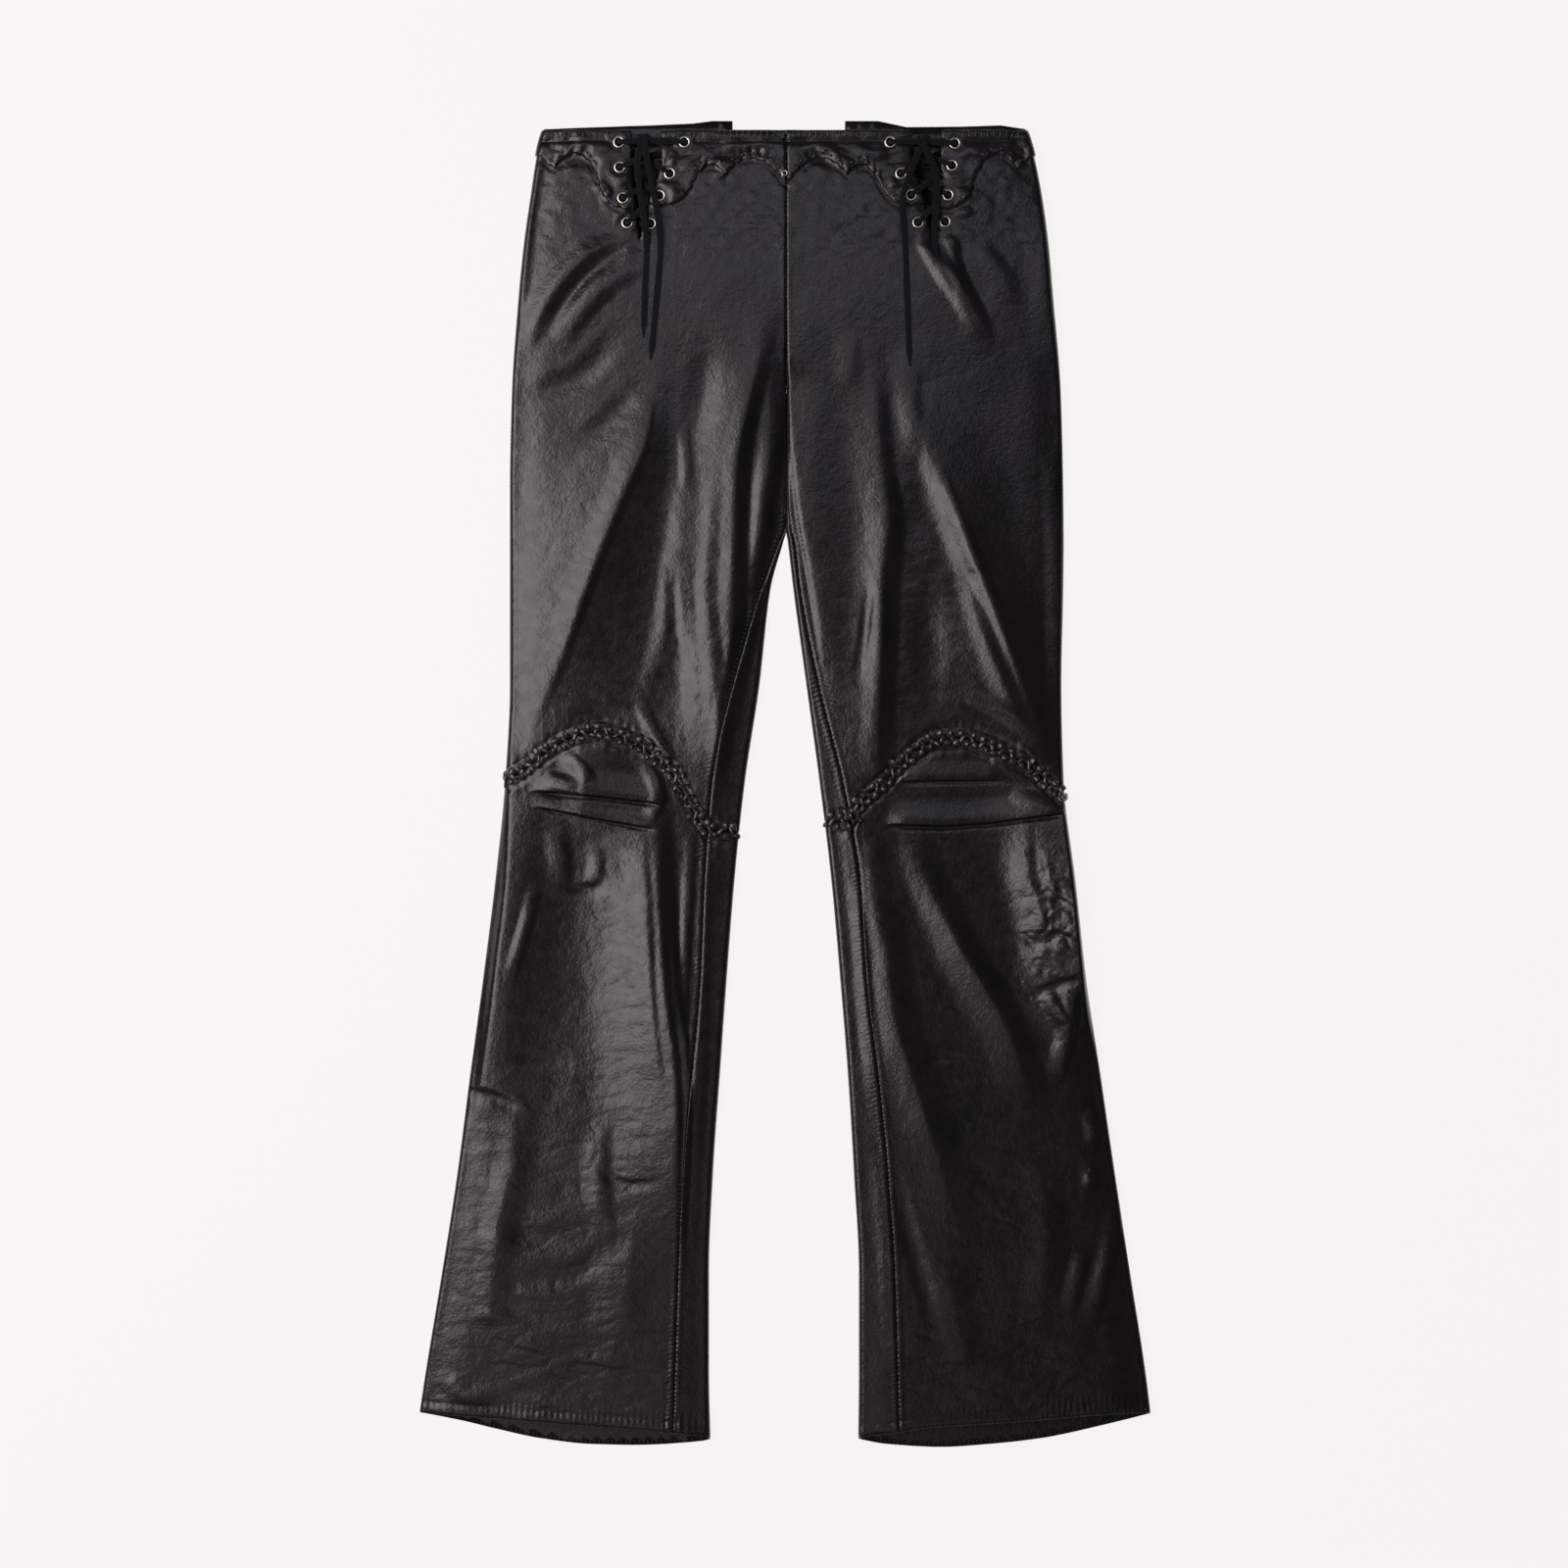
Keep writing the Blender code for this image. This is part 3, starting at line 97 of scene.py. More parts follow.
# Camera, softboxes that face straight down, and the room, in metres and watts
FRAME_WIDTH = 1.216      # what the camera takes in, across the garment
LENS, SENSOR = 100.0, 36.0
CAMERA_HEIGHT = LENS / SENSOR * FRAME_WIDTH + HIP_LOFT * MM
Softbox = namedtuple("Softbox", "name place size watts tone")
SOFTBOXES = (
    Softbox("key_softbox", (-1.06, 0.22, 1.5), (1.15, 1.5), 24.0, "#fff4f6"),
    Softbox("hip_softbox", (0.0, 0.72, 1.8), (0.7, 0.5), 1.4, "#ece9f6"),
    Softbox("hem_softbox", (-0.25, -0.82, 1.8), (0.9, 0.55), 0.65, "#fff0f1"),
)
ROOM_TONE, ROOM_STRENGTH = "#f2f2f5", 0.07

# The leather's uneven patterns: the size of their marks in millimetres, and how broken up they are
Pattern = namedtuple("Pattern", "size detail distortion", defaults=(0.0,))
NAPPA_MARKS = {
    "cloud": Pattern(42, 3.0),
    "wear": Pattern(9, 4.0, 0.4),
    "dimples": Pattern(9.0, 3.0),
    "drawn": Pattern(4.2, 5.0),
}
PORE_SPACING = 2.4
MARK_RANGE = (0.3, 0.7)     # most of a pattern lies between these
DYE_TURNS = (-0.4, 0.45)    # heights, in metres, between which the dye goes from browner to bluer

# How creases are formed
CREASE_STEP = 12.0
CREASE_ENDS = 0.03       # share of a half wave left beyond each end of a crease
CREST_ROUND = 1.6        # how blunt a sharp crest is
SHARPENED = (7.0, 24.0)  # creases this wide go from round to sharp at the crest
SHARPEST = 0.6

# Uneven hills of the leather: how deep, how far apart across and up the leg, and which draw
Hills = namedtuple("Hills", "depth size seed")
UNEVEN = (Hills(0.3, (34, 46), 0), Hills(0.1, (13, 19), 1), Hills(0.06, (4.6, 7.5), 2))
RIPPLE = (Hills(0.42, (24, 8.5), 20), Hills(0.18, (11, 4.2), 21))
CRINKLE = (Hills(0.45, (12, 10), 32), Hills(0.2, (6, 5.5), 33))
FURROWS = Hills(0.3, (30, 11), 22)
CRACKS = Hills(0.55, (17, 9), 30)
FINE_CRACKS = Hills(0.6, (8, 5.5), 31)   # its depth is a share of the cracks'
CLOUD_CELLS, CLOUD_START = 96, 40.5
RELIEF_SEEDS = {"left": 11, "right": 41}
BAND_SEEDS = {"left": 81, "right": 91}
KNEE_SEEDS = {"left": 17, "right": 23}

# Ridges and, where negative, grooves that run beside a line: height, distance from it and half width
Welt = namedtuple("Welt", "height place width")
HEM_BAND = 7.5           # height of the hem's turned-up edge
BINDING = 7.5            # the turned top edge of the waistband
INSEAM_WELT = Welt(0.22, 2.6, 1.9)
CENTRE_WELT = Welt(0.22, 2.2, 1.5)
KNEE_GATHERS = Welt(1.0, 10.0, 4.0)
KNEE_GROOVE = Welt(-0.7, 8.4, 1.8)
HEM_PUCKERS = Welt(0.26, 8.0, 7.0)
HEM_GROOVE = Welt(-0.3, HEM_BAND, 1.5)
BINDING_GROOVE = Welt(-0.75, BINDING + 1.2, 1.4)
THONG_PUCKERS = Welt(0.5, 4.5, 4.5)
BAND_FOOT = Welt(-0.45, -2.2, 1.7)
SLIT_DIP = Welt(-0.8, 0.0, 6.0)
TUCK_GROOVE = Welt(0.85, 0.2, 1.3)   # a share of the tuck's height, below its step
HEM_RISE, BINDING_RISE = 0.5, 0.35
PUCKER_PITCH, PUCKER_DEPTH, PUCKER_REACH = 3.4, 0.42, 7.0
HEM_PUCKER_PITCH = 4.6
THONG_PITCH = 7.6
EYELET_CALM = (5.3, 9.5)   # relief fades in between these distances from an eyelet
UNDER_TROUGH = 0.7         # hollows under the back, this deep
UNDER_CLEAR = (6.0, 22.0)  # and fading in between these distances from both folds
HEM_TURNING = 28.0

# Thread and running thongs
Stitch = namedtuple("Stitch", "pitch length lift radius height tilt jitter seed")
ACROSS = math.pi / 2       # a stitch's turn out of its line
FRONT_HEM_STITCH = Stitch(3.4, 2.3, 0.0, 0.35, 0.25, ACROSS, 0.2, 5)
BACK_HEM_STITCH = Stitch(3.4, 2.2, -LEATHER, 0.35, -0.25, ACROSS, 0.2, 6)
INSEAM_STITCH = Stitch(PUCKER_PITCH, 2.2, 0.0, 0.32, 0.2, ACROSS, 0.3, 1)
CENTRE_STITCH = Stitch(3.6, 2.4, 0.0, 0.3, 0.2, 0.0, 0.05, 7)
TOP_THONG = Stitch(4.5, 5.0, SEAM_GAP + LEATHER, 0.75, 0.45, ACROSS, 0.2, 8)
SCALLOP_THONG = Stitch(THONG_PITCH, 4.8, SEAM_GAP + LEATHER, 1.0, 0.55, 0.12, 0.25, 3)
STITCH_SIDES = 5
# Along a stitch: how far, how high and how thick
STITCH_STATIONS = (
    (0.0, 0.15, 0.55), (0.22, 0.8, 0.95), (0.5, 1.0, 1.0), (0.78, 0.8, 0.95), (1.0, 0.15, 0.55),
)
HemRun = namedtuple("HemRun", "up start end")   # above the hem, and clear of its inner and outer ends
FRONT_HEM_RUN, BACK_HEM_RUN = HemRun(2.6, 3.0, 5.0), HemRun(2.4, 8.0, 8.0)
HEM_LEVEL = -510.0           # about where the hems' inner ends are
RUN_STEP = 3.0               # between the points of a line of stitches
INSEAM_STITCH_OFF, INSEAM_STITCH_TOP = 2.4, 190.0
OFF_HEM, OFF_KNEE = 4.0, 9.0   # the inseam's stitches keep this far from the hem and the knee lacing
CENTRE_STITCH_OFF, CENTRE_STITCH_RUN = 2.0, (338.0, 458.0)
TOP_THONG_RUN, TOP_THONG_RESTART = (3.0, 94.0), 124.0   # out from the centre, and again from the slit
TOP_THONG_DOWN, TOP_THONG_END = 3.5, 7.0   # below the top edge, and short of the side fold
SCALLOP_THONG_IN = 4.2
TOP_THONG_CLEAR, SCALLOP_THONG_CLEAR = 7.5, 8.0   # of the eyelets
# A dark thread-coloured strip lying on the table under the gap between the two legs' inner folds: painted
# shade, so that the gap reads dark
SEAT_SHADE_STRIP_RUN = (304.0, 216.0)   # between the two inner folds, above the crotch
SEAT_SHADE_STRIP_LOW = 0.35
SEAT_SHADE_STRIP_WIDE, SEAT_SHADE_STRIP_THICK = 2.2, 0.35

# Knee lacing: rows of loops on both sides of the seam, and thinner strands over it
Straps = namedtuple("Straps", "reach near slant high wide thick lean")
LOOP_PITCH = 8.0
LOOP_REACH = 6.6      # from the seam to the far end of a loop
LOOP_SLOT = 0.7       # from the seam to its near end
LOOP_HIGH = 2.3
LOOP_WIDE, LOOP_THICK = 4.3, 1.5
LOOP_ROWS = ((1, 1.1), (-1, 0.85))   # the row's side of the seam, and how large its loops are
LOOP_STAGGER = 0.2    # how far the two rows are moved along, each its own way, as a share of the pitch
LOOP_DRIFT = 1.1      # how far a loop lies from its even place, at most
LOOP_SLANT, LOOP_VARIES = 3.6, 0.2   # the most that a loop slants, and how far its height and width vary
STRAND_WIDE, STRAND_THICK = 2.4, 1.1
STRAND_REACH, STRAND_NEAR, STRAND_HIGH = 4.2, -4.0, 0.8
STRAND_SLANTS = (-5.5, 6.5)          # by turns
LACING_ENDS = 2.5                    # the lacing stops this far from the ends of its seam
LOOP_ROLL = (-0.22, 0.3)   # how far the loops lean to the left, and how much that varies, in radians
STRAP_SHARES = (0.0, 0.14, 0.34, 0.58, 0.84, 1.0)
STRAP_RISES = (0.05, 0.6, 0.98, 1.0, 0.55, 0.1)
STRAP_GIRTHS = np.array([0.6, 0.92, 1.1, 1.12, 0.9, 0.6])
SECTION_SIDES, SECTION_POWER = 12, 0.55   # of a flat lace or thong
LACES_LIE_BELOW = {("left", 1): 424.0, ("left", 2): 421.0, ("right", 1): 422.0, ("right", 2): 426.0}

Section = namedtuple(
    "Section", "y outer_left inner_left inseam_left outer_right inner_right inseam_right"
)
SECTIONS = (
    Section(520, 183.0, -2.02, -2.02, 184.0, 1.58, 1.58),
    Section(494, 191.2, -2.02, -2.02, 193.0, 1.58, 1.58),
    Section(456, 197.3, -2.02, -2.02, 200.9, 1.58, 1.58),
    Section(418, 202.6, -2.02, -2.02, 206.0, 1.58, 1.58),
    Section(380, 206.4, -2.02, -2.02, 209.3, 1.58, 1.58),
    Section(304, 211.7, -2.02, -2.02, 215.4, 1.58, 1.58),
    Section(228, 213.3, -2.02, -2.02, 217.3, 1.58, 1.58),
    Section(198, 213.3, -2.02, -1.0, 217.6, 1.58, 5.2),
    Section(188, 213.3, 0.6, 3.6, 217.7, 2.9, 7.9),
    Section(152, 213.3, 10.3, 16.9, 217.3, 7.1, 12.3),
    Section(76, 213.3, 19.1, 39.2, 215.8, 17.4, 27.0),
    Section(0, 217.1, 30.5, 56.1, 217.7, 27.7, 45.8),
    Section(-76, 224.7, 38.5, 61.8, 226.8, 36.8, 59.1),
    Section(-152, 234.2, 44.5, 65.1, 235.1, 43.6, 64.1),
    Section(-228, 244.4, 49.9, 71.7, 246.5, 49.7, 73.4),
    Section(-304, 254.3, 55.2, 77.8, 257.6, 54.3, 80.7),
    Section(-380, 266.1, 58.2, 82.3, 269.3, 58.1, 86.0),
    Section(-456, 278.6, 58.2, 84.8, 281.1, 58.1, 88.0),
    Section(-525, 289.0, 56.5, 86.8, 289.5, 57.3, 89.8),
)
KNEE_SEAM = {
    "left": (
        (28, -38.5), (39.2, -37.4), (59, -35.1), (71.9, -19.2), (83.3, 3.6), (102.3, 22.6),
        (121.3, 34.0), (144.1, 40.9), (163.1, 36.3), (182.1, 26.4), (201.1, 11.2), (222, -1.0),
    ),
    "right": (
        (24, -29.0), (32.2, -29.0), (52, -29.0), (61.1, -13.8), (80.1, 3.6), (99.1, 22.6),
        (118.1, 34.0), (137.1, 35.6), (159.9, 28.7), (182.7, 18.8), (201.7, 3.6), (222, -16.0),
    ),
}
FRONT_HEM = {
    "left": ((52, -508.0), (83.3, -504.1), (200, -494.5), (290, -487.2)),
    "right": (
        (52, -508.0), (78.4, -504.8), (110.5, -499.9), (183.5, -494.9), (261.5, -488.8), (290, -488.0),
    ),
}
BACK_HEM = {
    "left": (
        (52, -508.0), (64.3, -510.9), (113.7, -513.9), (149.4, -513.2),
        (189.7, -508.6), (221.6, -501.8), (250.5, -494.9), (290, -487.2),
    ),
    "right": (
        (52, -508.0), (80.1, -513.2), (121.9, -515.5), (159.9, -513.2),
        (200.2, -508.6), (243.5, -499.5), (290, -488.0),
    ),
}
BACK_BAND_TOP = {
    "left": ((40.0, 515.5), (55.9, 515.5), (70.4, 513.6), (103.8, 512.1), (150.9, 510.6), (186, 509.0)),
    "right": ((47.4, 515.5), (73.3, 515.5), (95.3, 510.8), (139, 511.2), (168.3, 512.1), (186, 509.0)),
}
BACK_NOTCH_HEIGHT = 501.0
Scallop = namedtuple("Scallop", "corner middle")
FRONT_BAND_EDGE = (
    Scallop((0.4, 465.0), (24.0, 485.0)),
    Scallop((47.1, 472.6), (61.0, 479.5)),
    Scallop((73.7, 462.0), (88.0, 450.0)),
    Scallop((107.6, 450.5), None),
)
SIDE_BAND_EDGE = (
    Scallop((118.0, 446.0), (137.0, 450.5)),
    Scallop((146.0, 469.0), (161.0, 488.5)),
    Scallop((179.5, 477.5), (185.0, 480.5)),
    Scallop((189.5, 486.5), None),
)

Eyelet = namedtuple("Eyelet", "leg edge row out y banded")
EYELETS = (
    Eyelet("left", "outer", 1, 128.1, 497.6, True),
    Eyelet("left", "outer", 2, 127.4, 478.2, True),
    Eyelet("left", "outer", 3, 124.9, 454.4, True),
    Eyelet("left", "outer", 4, 121.6, 435.3, False),
    Eyelet("left", "inner", 1, 77.2, 497.6, True),
    Eyelet("left", "inner", 2, 88.6, 473.3, True),
    Eyelet("left", "inner", 3, 96.4, 456.2, True),
    Eyelet("left", "inner", 4, 103.4, 434.6, False),
    Eyelet("right", "inner", 1, 82.4, 497.6, True),
    Eyelet("right", "inner", 2, 90.7, 473.3, True),
    Eyelet("right", "inner", 3, 98.6, 456.6, True),
    Eyelet("right", "inner", 4, 104.0, 435.6, False),
    Eyelet("right", "outer", 1, 132.5, 496.6, True),
    Eyelet("right", "outer", 2, 130.3, 479.6, True),
    Eyelet("right", "outer", 3, 127.2, 456.6, True),
    Eyelet("right", "outer", 4, 125.0, 436.1, False),
)
LEATHER_HOLE_R = 3.5
HOLE_SIDES = 20
BARREL_R = 3.1
BORE_R = 2.6
FLANGE_R = 4.95
FLANGE_HEIGHT = 1.2
WASHER_R = 4.4
WASHER_DEPTH = 0.8
RIVET_PLACE = (0.4, 473.6)
RIVET_R, RIVET_BORE_R, RIVET_HEIGHT = 2.7, 1.2, 1.1

# Laces: flat suede
LACE_BEND = 2.2
LACE_HIGH = 14.7
LACE_OVER_EDGE = 13.6
LACE_UNDER_EDGE = 7.2
LACE_LOW = 6.2
CROSSING_HIGH, CROSSING_LOW = 13.0, 8.6
LACE_OVER_CROSSINGS = 17.2
LACE_REST = 1.5
KNOT_RADII = (5.5, 4.5)
KNOT_SECTION = (3.6, 1.5)
KNOT_HEIGHT = 16.4
KNOT_PLACES = {"left": (109.0, 499.0), "right": (107.5, 498.0)}
LACE_WIDE, LACE_THICK = 4.6, 1.3
LACE_IN_EYELET = (3.3, 1.9)   # its width and thickness where an eyelet gathers it
LACE_OPENS = (2.0, 6.5)      # from this far out of the eyelet to this far it spreads
LACE_POINT = 11.0     # length over which a free end narrows to its point
LACE_ENDS = {
    ("left", 1): (
        (110.8, 493.6, None), (113.4, 479.0, None), (111.6, 460.0, None), (108.8, 440.0, None),
        (106.8, 427.0, 5.4), (106.6, 408.0, LACE_REST), (108.0, 380.0, LACE_REST), (109.0, 346.0, LACE_REST),
    ),
    ("left", 2): (
        (107.2, 493.6, None), (105.4, 479.0, None), (101.0, 458.0, None), (97.4, 438.0, None),
        (96.0, 424.0, 5.4), (96.2, 406.0, LACE_REST), (100.2, 362.0, LACE_REST), (103.6, 329.0, LACE_REST),
    ),
    ("right", 1): (
        (105.6, 492.6, None), (99.0, 476.0, None), (92.6, 458.0, None), (92.4, 440.0, None),
        (93.6, 425.0, 5.4), (94.6, 406.0, LACE_REST), (95.6, 376.0, LACE_REST), (97.6, 324.0, LACE_REST),
    ),
    ("right", 2): (
        (109.4, 492.6, None), (115.4, 480.0, None), (118.6, 464.0, None), (117.6, 444.0, None),
        (116.6, 428.0, 5.8), (118.6, 408.0, LACE_REST),
    ),
}

# Creases: how far each reaches to the viewer's left and right of its line, and how high it stands. A pair
# gives the reach at the line's two ends
Crease = namedtuple("Crease", "leg west east height path")
CREASES = (
    # left hip
    Crease("left", 15, 12, 2.2, ((-121, 434), (-133, 425), (-154, 410), (-182, 378), (-205, 336))),
    Crease("left", 14, 11, 2.0, ((-112, 404), (-134, 391), (-155, 371), (-174, 342))),
    Crease("left", 9, 9, -1.1, ((-124, 420), (-158, 392), (-188, 350))),
    Crease("left", 14, 6, 1.4, ((-188, 500), (-198, 444), (-205, 372))),
    Crease("left", 13, 13, -1.5, ((-130, 348), (-156, 318), (-198, 300))),
    Crease("left", 12, 12, -1.2, ((-116, 304), (-142, 275), (-160, 262))),
    # left thigh
    Crease("left", 88, (18, 96), 7.2, (
        (-102, 304), (-109, 262), (-127, 220), (-149, 164), (-172, 100), (-198, 36),
    )),
    Crease("left", 18, 6, 1.4, ((-106, 296), (-110, 262), (-127, 220), (-149, 164), (-172, 100), (-188, 62))),
    Crease("left", (15, 13), (14, 24), 2.0, (
        (-78, 254), (-79, 200), (-84, 168), (-88, 135), (-96, 100), (-108, 64),
    )),
    Crease("left", 7, 6, 1.5, ((-112, 64), (-104, 46), (-95, 30), (-87, 14))),
    Crease("left", (18, 25), 11, 1.8, ((-58, 240), (-61, 180), (-63, 148), (-59, 110), (-56, 70), (-53, 10))),
    Crease("left", 9, 7, 0.7, ((-74, 190), (-76, 140), (-72, 90), (-70, 40))),
    Crease("left", (46, 48), (12, 13), 7.2, (
        (-20, 336), (-27, 306), (-33, 278), (-38, 250), (-39, 214),
        (-40, 164), (-43, 118), (-49, 76), (-56, 4),
    )),
    Crease("left", (14, 12), (8, 10), 3.4, (
        (-3, 324), (-6, 285), (-9, 250), (-14, 225), (-18, 195),
        (-23, 165), (-28, 130), (-34, 100), (-41, 68), (-50, 28),
    )),
    Crease("left", 22, 16, -3.2, ((2, 368), (3, 310), (3, 236), (0, 190), (-8, 130))),
    Crease("left", 6, 5, 1.0, ((-78, 280), (-76, 252), (-75, 228))),
    Crease("left", 16, 18, -1.5, ((-60, 336), (-64, 296), (-72, 262))),
    Crease("left", 6, 5, -0.8, ((-87, 172), (-86, 140), (-84, 108))),
    Crease("left", 8, 7, -1.1, ((-166, 49), (-142, 54), (-118, 50))),
    # left knee, under the arch of lacing
    Crease("left", 30, 52, 3.8, ((-160, 36), (-154, 12), (-155, -10), (-160, -34))),
    Crease("left", 8, 6, 1.7, ((-170, 22), (-158, 14), (-150, 2))),
    Crease("left", 9, 7, 1.5, ((-186, 8), (-176, 2), (-160, -2))),
    Crease("left", 9, 5, 2.0, ((-108, 16), (-99, 2), (-96, -12), (-104, -28))),
    # left shin
    Crease("left", (60, 76), (15, 10), 10.6, (
        (-101, -24), (-97, -90), (-94, -140), (-90, -180), (-85, -215), (-83, -260), (-86, -356),
    )),
    Crease("left", 22, 6, 1.1, ((-112, -40), (-108, -96), (-106, -150), (-102, -196), (-97, -236))),
    Crease("left", 6, 4, 1.1, ((-72, -44), (-76, -120), (-80, -206))),
    Crease("left", (8, 9), 56, 6.6, (
        (-209, 22), (-211, -30), (-214, -80), (-220, -130), (-230, -215), (-237, -262),
    )),
    Crease("left", 7, 5, 1.6, ((-193, -82), (-200, -112), (-211, -148))),
    Crease("left", 14, 9, 1.7, ((-178, -34), (-173, -56), (-173, -78))),
    Crease("left", 7, 6, 1.1, ((-146, -52), (-145, -66), (-149, -76))),
    Crease("left", 8, 6, -1.5, ((-168, -81), (-152, -83), (-136, -80))),
    Crease("left", 5, 4, -0.6, ((-146, -299), (-122, -311), (-98, -309))),
    Crease("left", 7, 6, -1.2, ((-248, -240), (-226, -243), (-207, -253))),
    Crease("left", 8, 7, -0.7, ((-208, -212), (-186, -214), (-164, -214))),
    Crease("left", 16, 20, 1.9, ((-208, -248), (-210, -290), (-221, -340), (-230, -424))),
    Crease("left", 14, 11, 1.3, ((-142, -262), (-145, -300), (-139, -346))),
    Crease("left", 32, 28, 1.5, ((-116, -330), (-122, -390), (-132, -446))),
    Crease("left", 14, 12, -0.8, ((-232, -330), (-190, -352), (-158, -346))),
    Crease("left", 12, 12, -0.7, ((-120, -352), (-168, -382), (-214, -384))),
    Crease("left", 16, 14, 1.0, ((-236, -404), (-200, -430), (-170, -436))),
    Crease("left", 10, 8, 1.1, ((-262, -462), (-246, -474), (-222, -472))),
    # right hip
    Crease("right", (9, 17), 9, 3.1, ((108, 424), (122, 401), (138, 381), (151, 358), (155, 344))),
    Crease("right", 7, 6, 1.5, ((127, 418), (134, 398), (143, 380))),
    Crease("right", 16, 12, 1.1, ((146, 420), (166, 396), (176, 372))),
    Crease("right", 17, 7, 2.0, ((190, 474), (200, 420), (204, 370), (211, 312))),
    Crease("right", 14, 12, 1.0, ((50, 350), (51, 300))),
    # right thigh
    Crease("right", 5, 34, 1.5, ((7, 356), (6, 320), (7, 290), (10, 250), (15, 205), (25, 150), (33, 92))),
    Crease("right", (26, 32), 14, 3.8, (
        (68, 330), (74, 250), (80, 205), (77, 160), (75, 110), (73, 40), (72, -12),
    )),
    Crease("right", 13, 5, 1.2, ((77, 200), (75, 150), (75, 110), (72, 60), (71, 6))),
    Crease("right", 5, 4, -0.9, ((67, 154), (62, 112), (57, 82))),
    Crease("right", 15, 12, 0.9, ((97, 336), (96, 280), (93, 206))),
    Crease("right", (18, 32), (64, 16), 6.0, (
        (96, 306), (112, 262), (131, 220), (146, 180), (162, 140), (177, 100), (191, 60), (208, 16),
    )),
    Crease("right", 10, 6, 1.4, ((122, 240), (146, 180), (162, 140), (177, 100), (191, 60), (204, 24))),
    Crease("right", (34, 54), 11, 3.8, ((140, 150), (157, 105), (167, 82), (176, 60), (187, 34))),
    Crease("right", 6, 5, -0.4, ((131, 158), (144, 162), (158, 160))),
    Crease("right", 18, 16, -1.5, ((110, 160), (113, 100), (114, 44))),
    Crease("right", 10, 5, 1.5, ((208, 258), (211, 190), (212, 130), (212, 54))),
    Crease("right", 9, 8, 0.9, ((140, 68), (160, 62), (184, 46))),
    Crease("right", 7, 7, -0.8, ((148, 56), (168, 50), (188, 36))),
    # right knee
    Crease("right", 10, 8, 1.5, ((150, 30), (166, 22), (186, 8))),
    Crease("right", 8, 8, 1.2, ((176, -6), (188, -12), (204, -14))),
    # right shin
    Crease("right", (9, 34), (14, 30), 3.0, (
        (66, -40), (72, -90), (80, -130), (86, -180), (98, -220), (110, -260), (122, -300), (138, -356),
    )),
    Crease("right", (15, 36), 17, 4.6, (
        (100, -46), (112, -78), (125, -104), (138, -129), (151, -150), (164, -171), (180, -205), (190, -246),
    )),
    Crease("right", (66, 50), 6, 14.0, ((214, 6), (221, -60), (227, -112), (231, -160), (235, -196))),
    Crease("right", 20, 8, 1.6, ((186, -32), (188, -70), (197, -104), (199, -150))),
    Crease("right", 12, 6, 1.0, ((200, -52), (206, -86), (204, -120))),
    Crease("right", 5, 4, -1.0, ((196, -78), (208, -88), (226, -98))),
    Crease("right", 5, 4, -0.9, ((184, -118), (198, -124), (214, -116), (229, -128))),
    Crease("right", 5, 4, -1.4, ((192, -164), (212, -157), (233, -150))),
    Crease("right", 13, 5, 2.6, ((224, -160), (222, -190), (214, -226))),
    Crease("right", 10, 5, 1.8, ((204, -160), (212, -176), (218, -186))),
    Crease("right", 9, 5, 2.0, ((235, -252), (242, -268), (239, -280))),
    Crease("right", 7, 5, 1.7, ((236, -298), (239, -306), (236, -314))),
    Crease("right", 4, 4, -0.6, ((114, -214), (128, -212), (142, -213))),
    Crease("right", 4, 4, -0.5, ((112, -237), (128, -234), (143, -235))),
    Crease("right", 5, 4, -0.7, ((178, -285), (196, -283), (214, -284))),
    Crease("right", 9, 9, -1.0, ((84, -296), (96, -345), (118, -422))),
    Crease("right", 11, 6, 1.7, ((259, -328), (253, -366), (241, -410))),
    Crease("right", 9, 6, 1.2, ((233, -362), (222, -406))),
    Crease("right", 22, 20, 1.3, ((122, -366), (143, -452))),
    Crease("right", 18, 18, 1.2, ((196, -286), (204, -350), (198, -420))),
    Crease("right", 10, 10, -0.8, ((150, -300), (176, -318), (214, -312))),
    # back strips beside the inseams are part of the same form, and take these
    Crease("left", 5, 5, 0.5, ((-60, -60), (-64, -200), (-72, -360))),
    Crease("right", 9, 3, 1.3, ((50, -36), (59, -100), (67, -196), (75, -268))),
    Crease("right", 9, 6, 0.6, ((74, -290), (80, -360), (84, -440))),
)

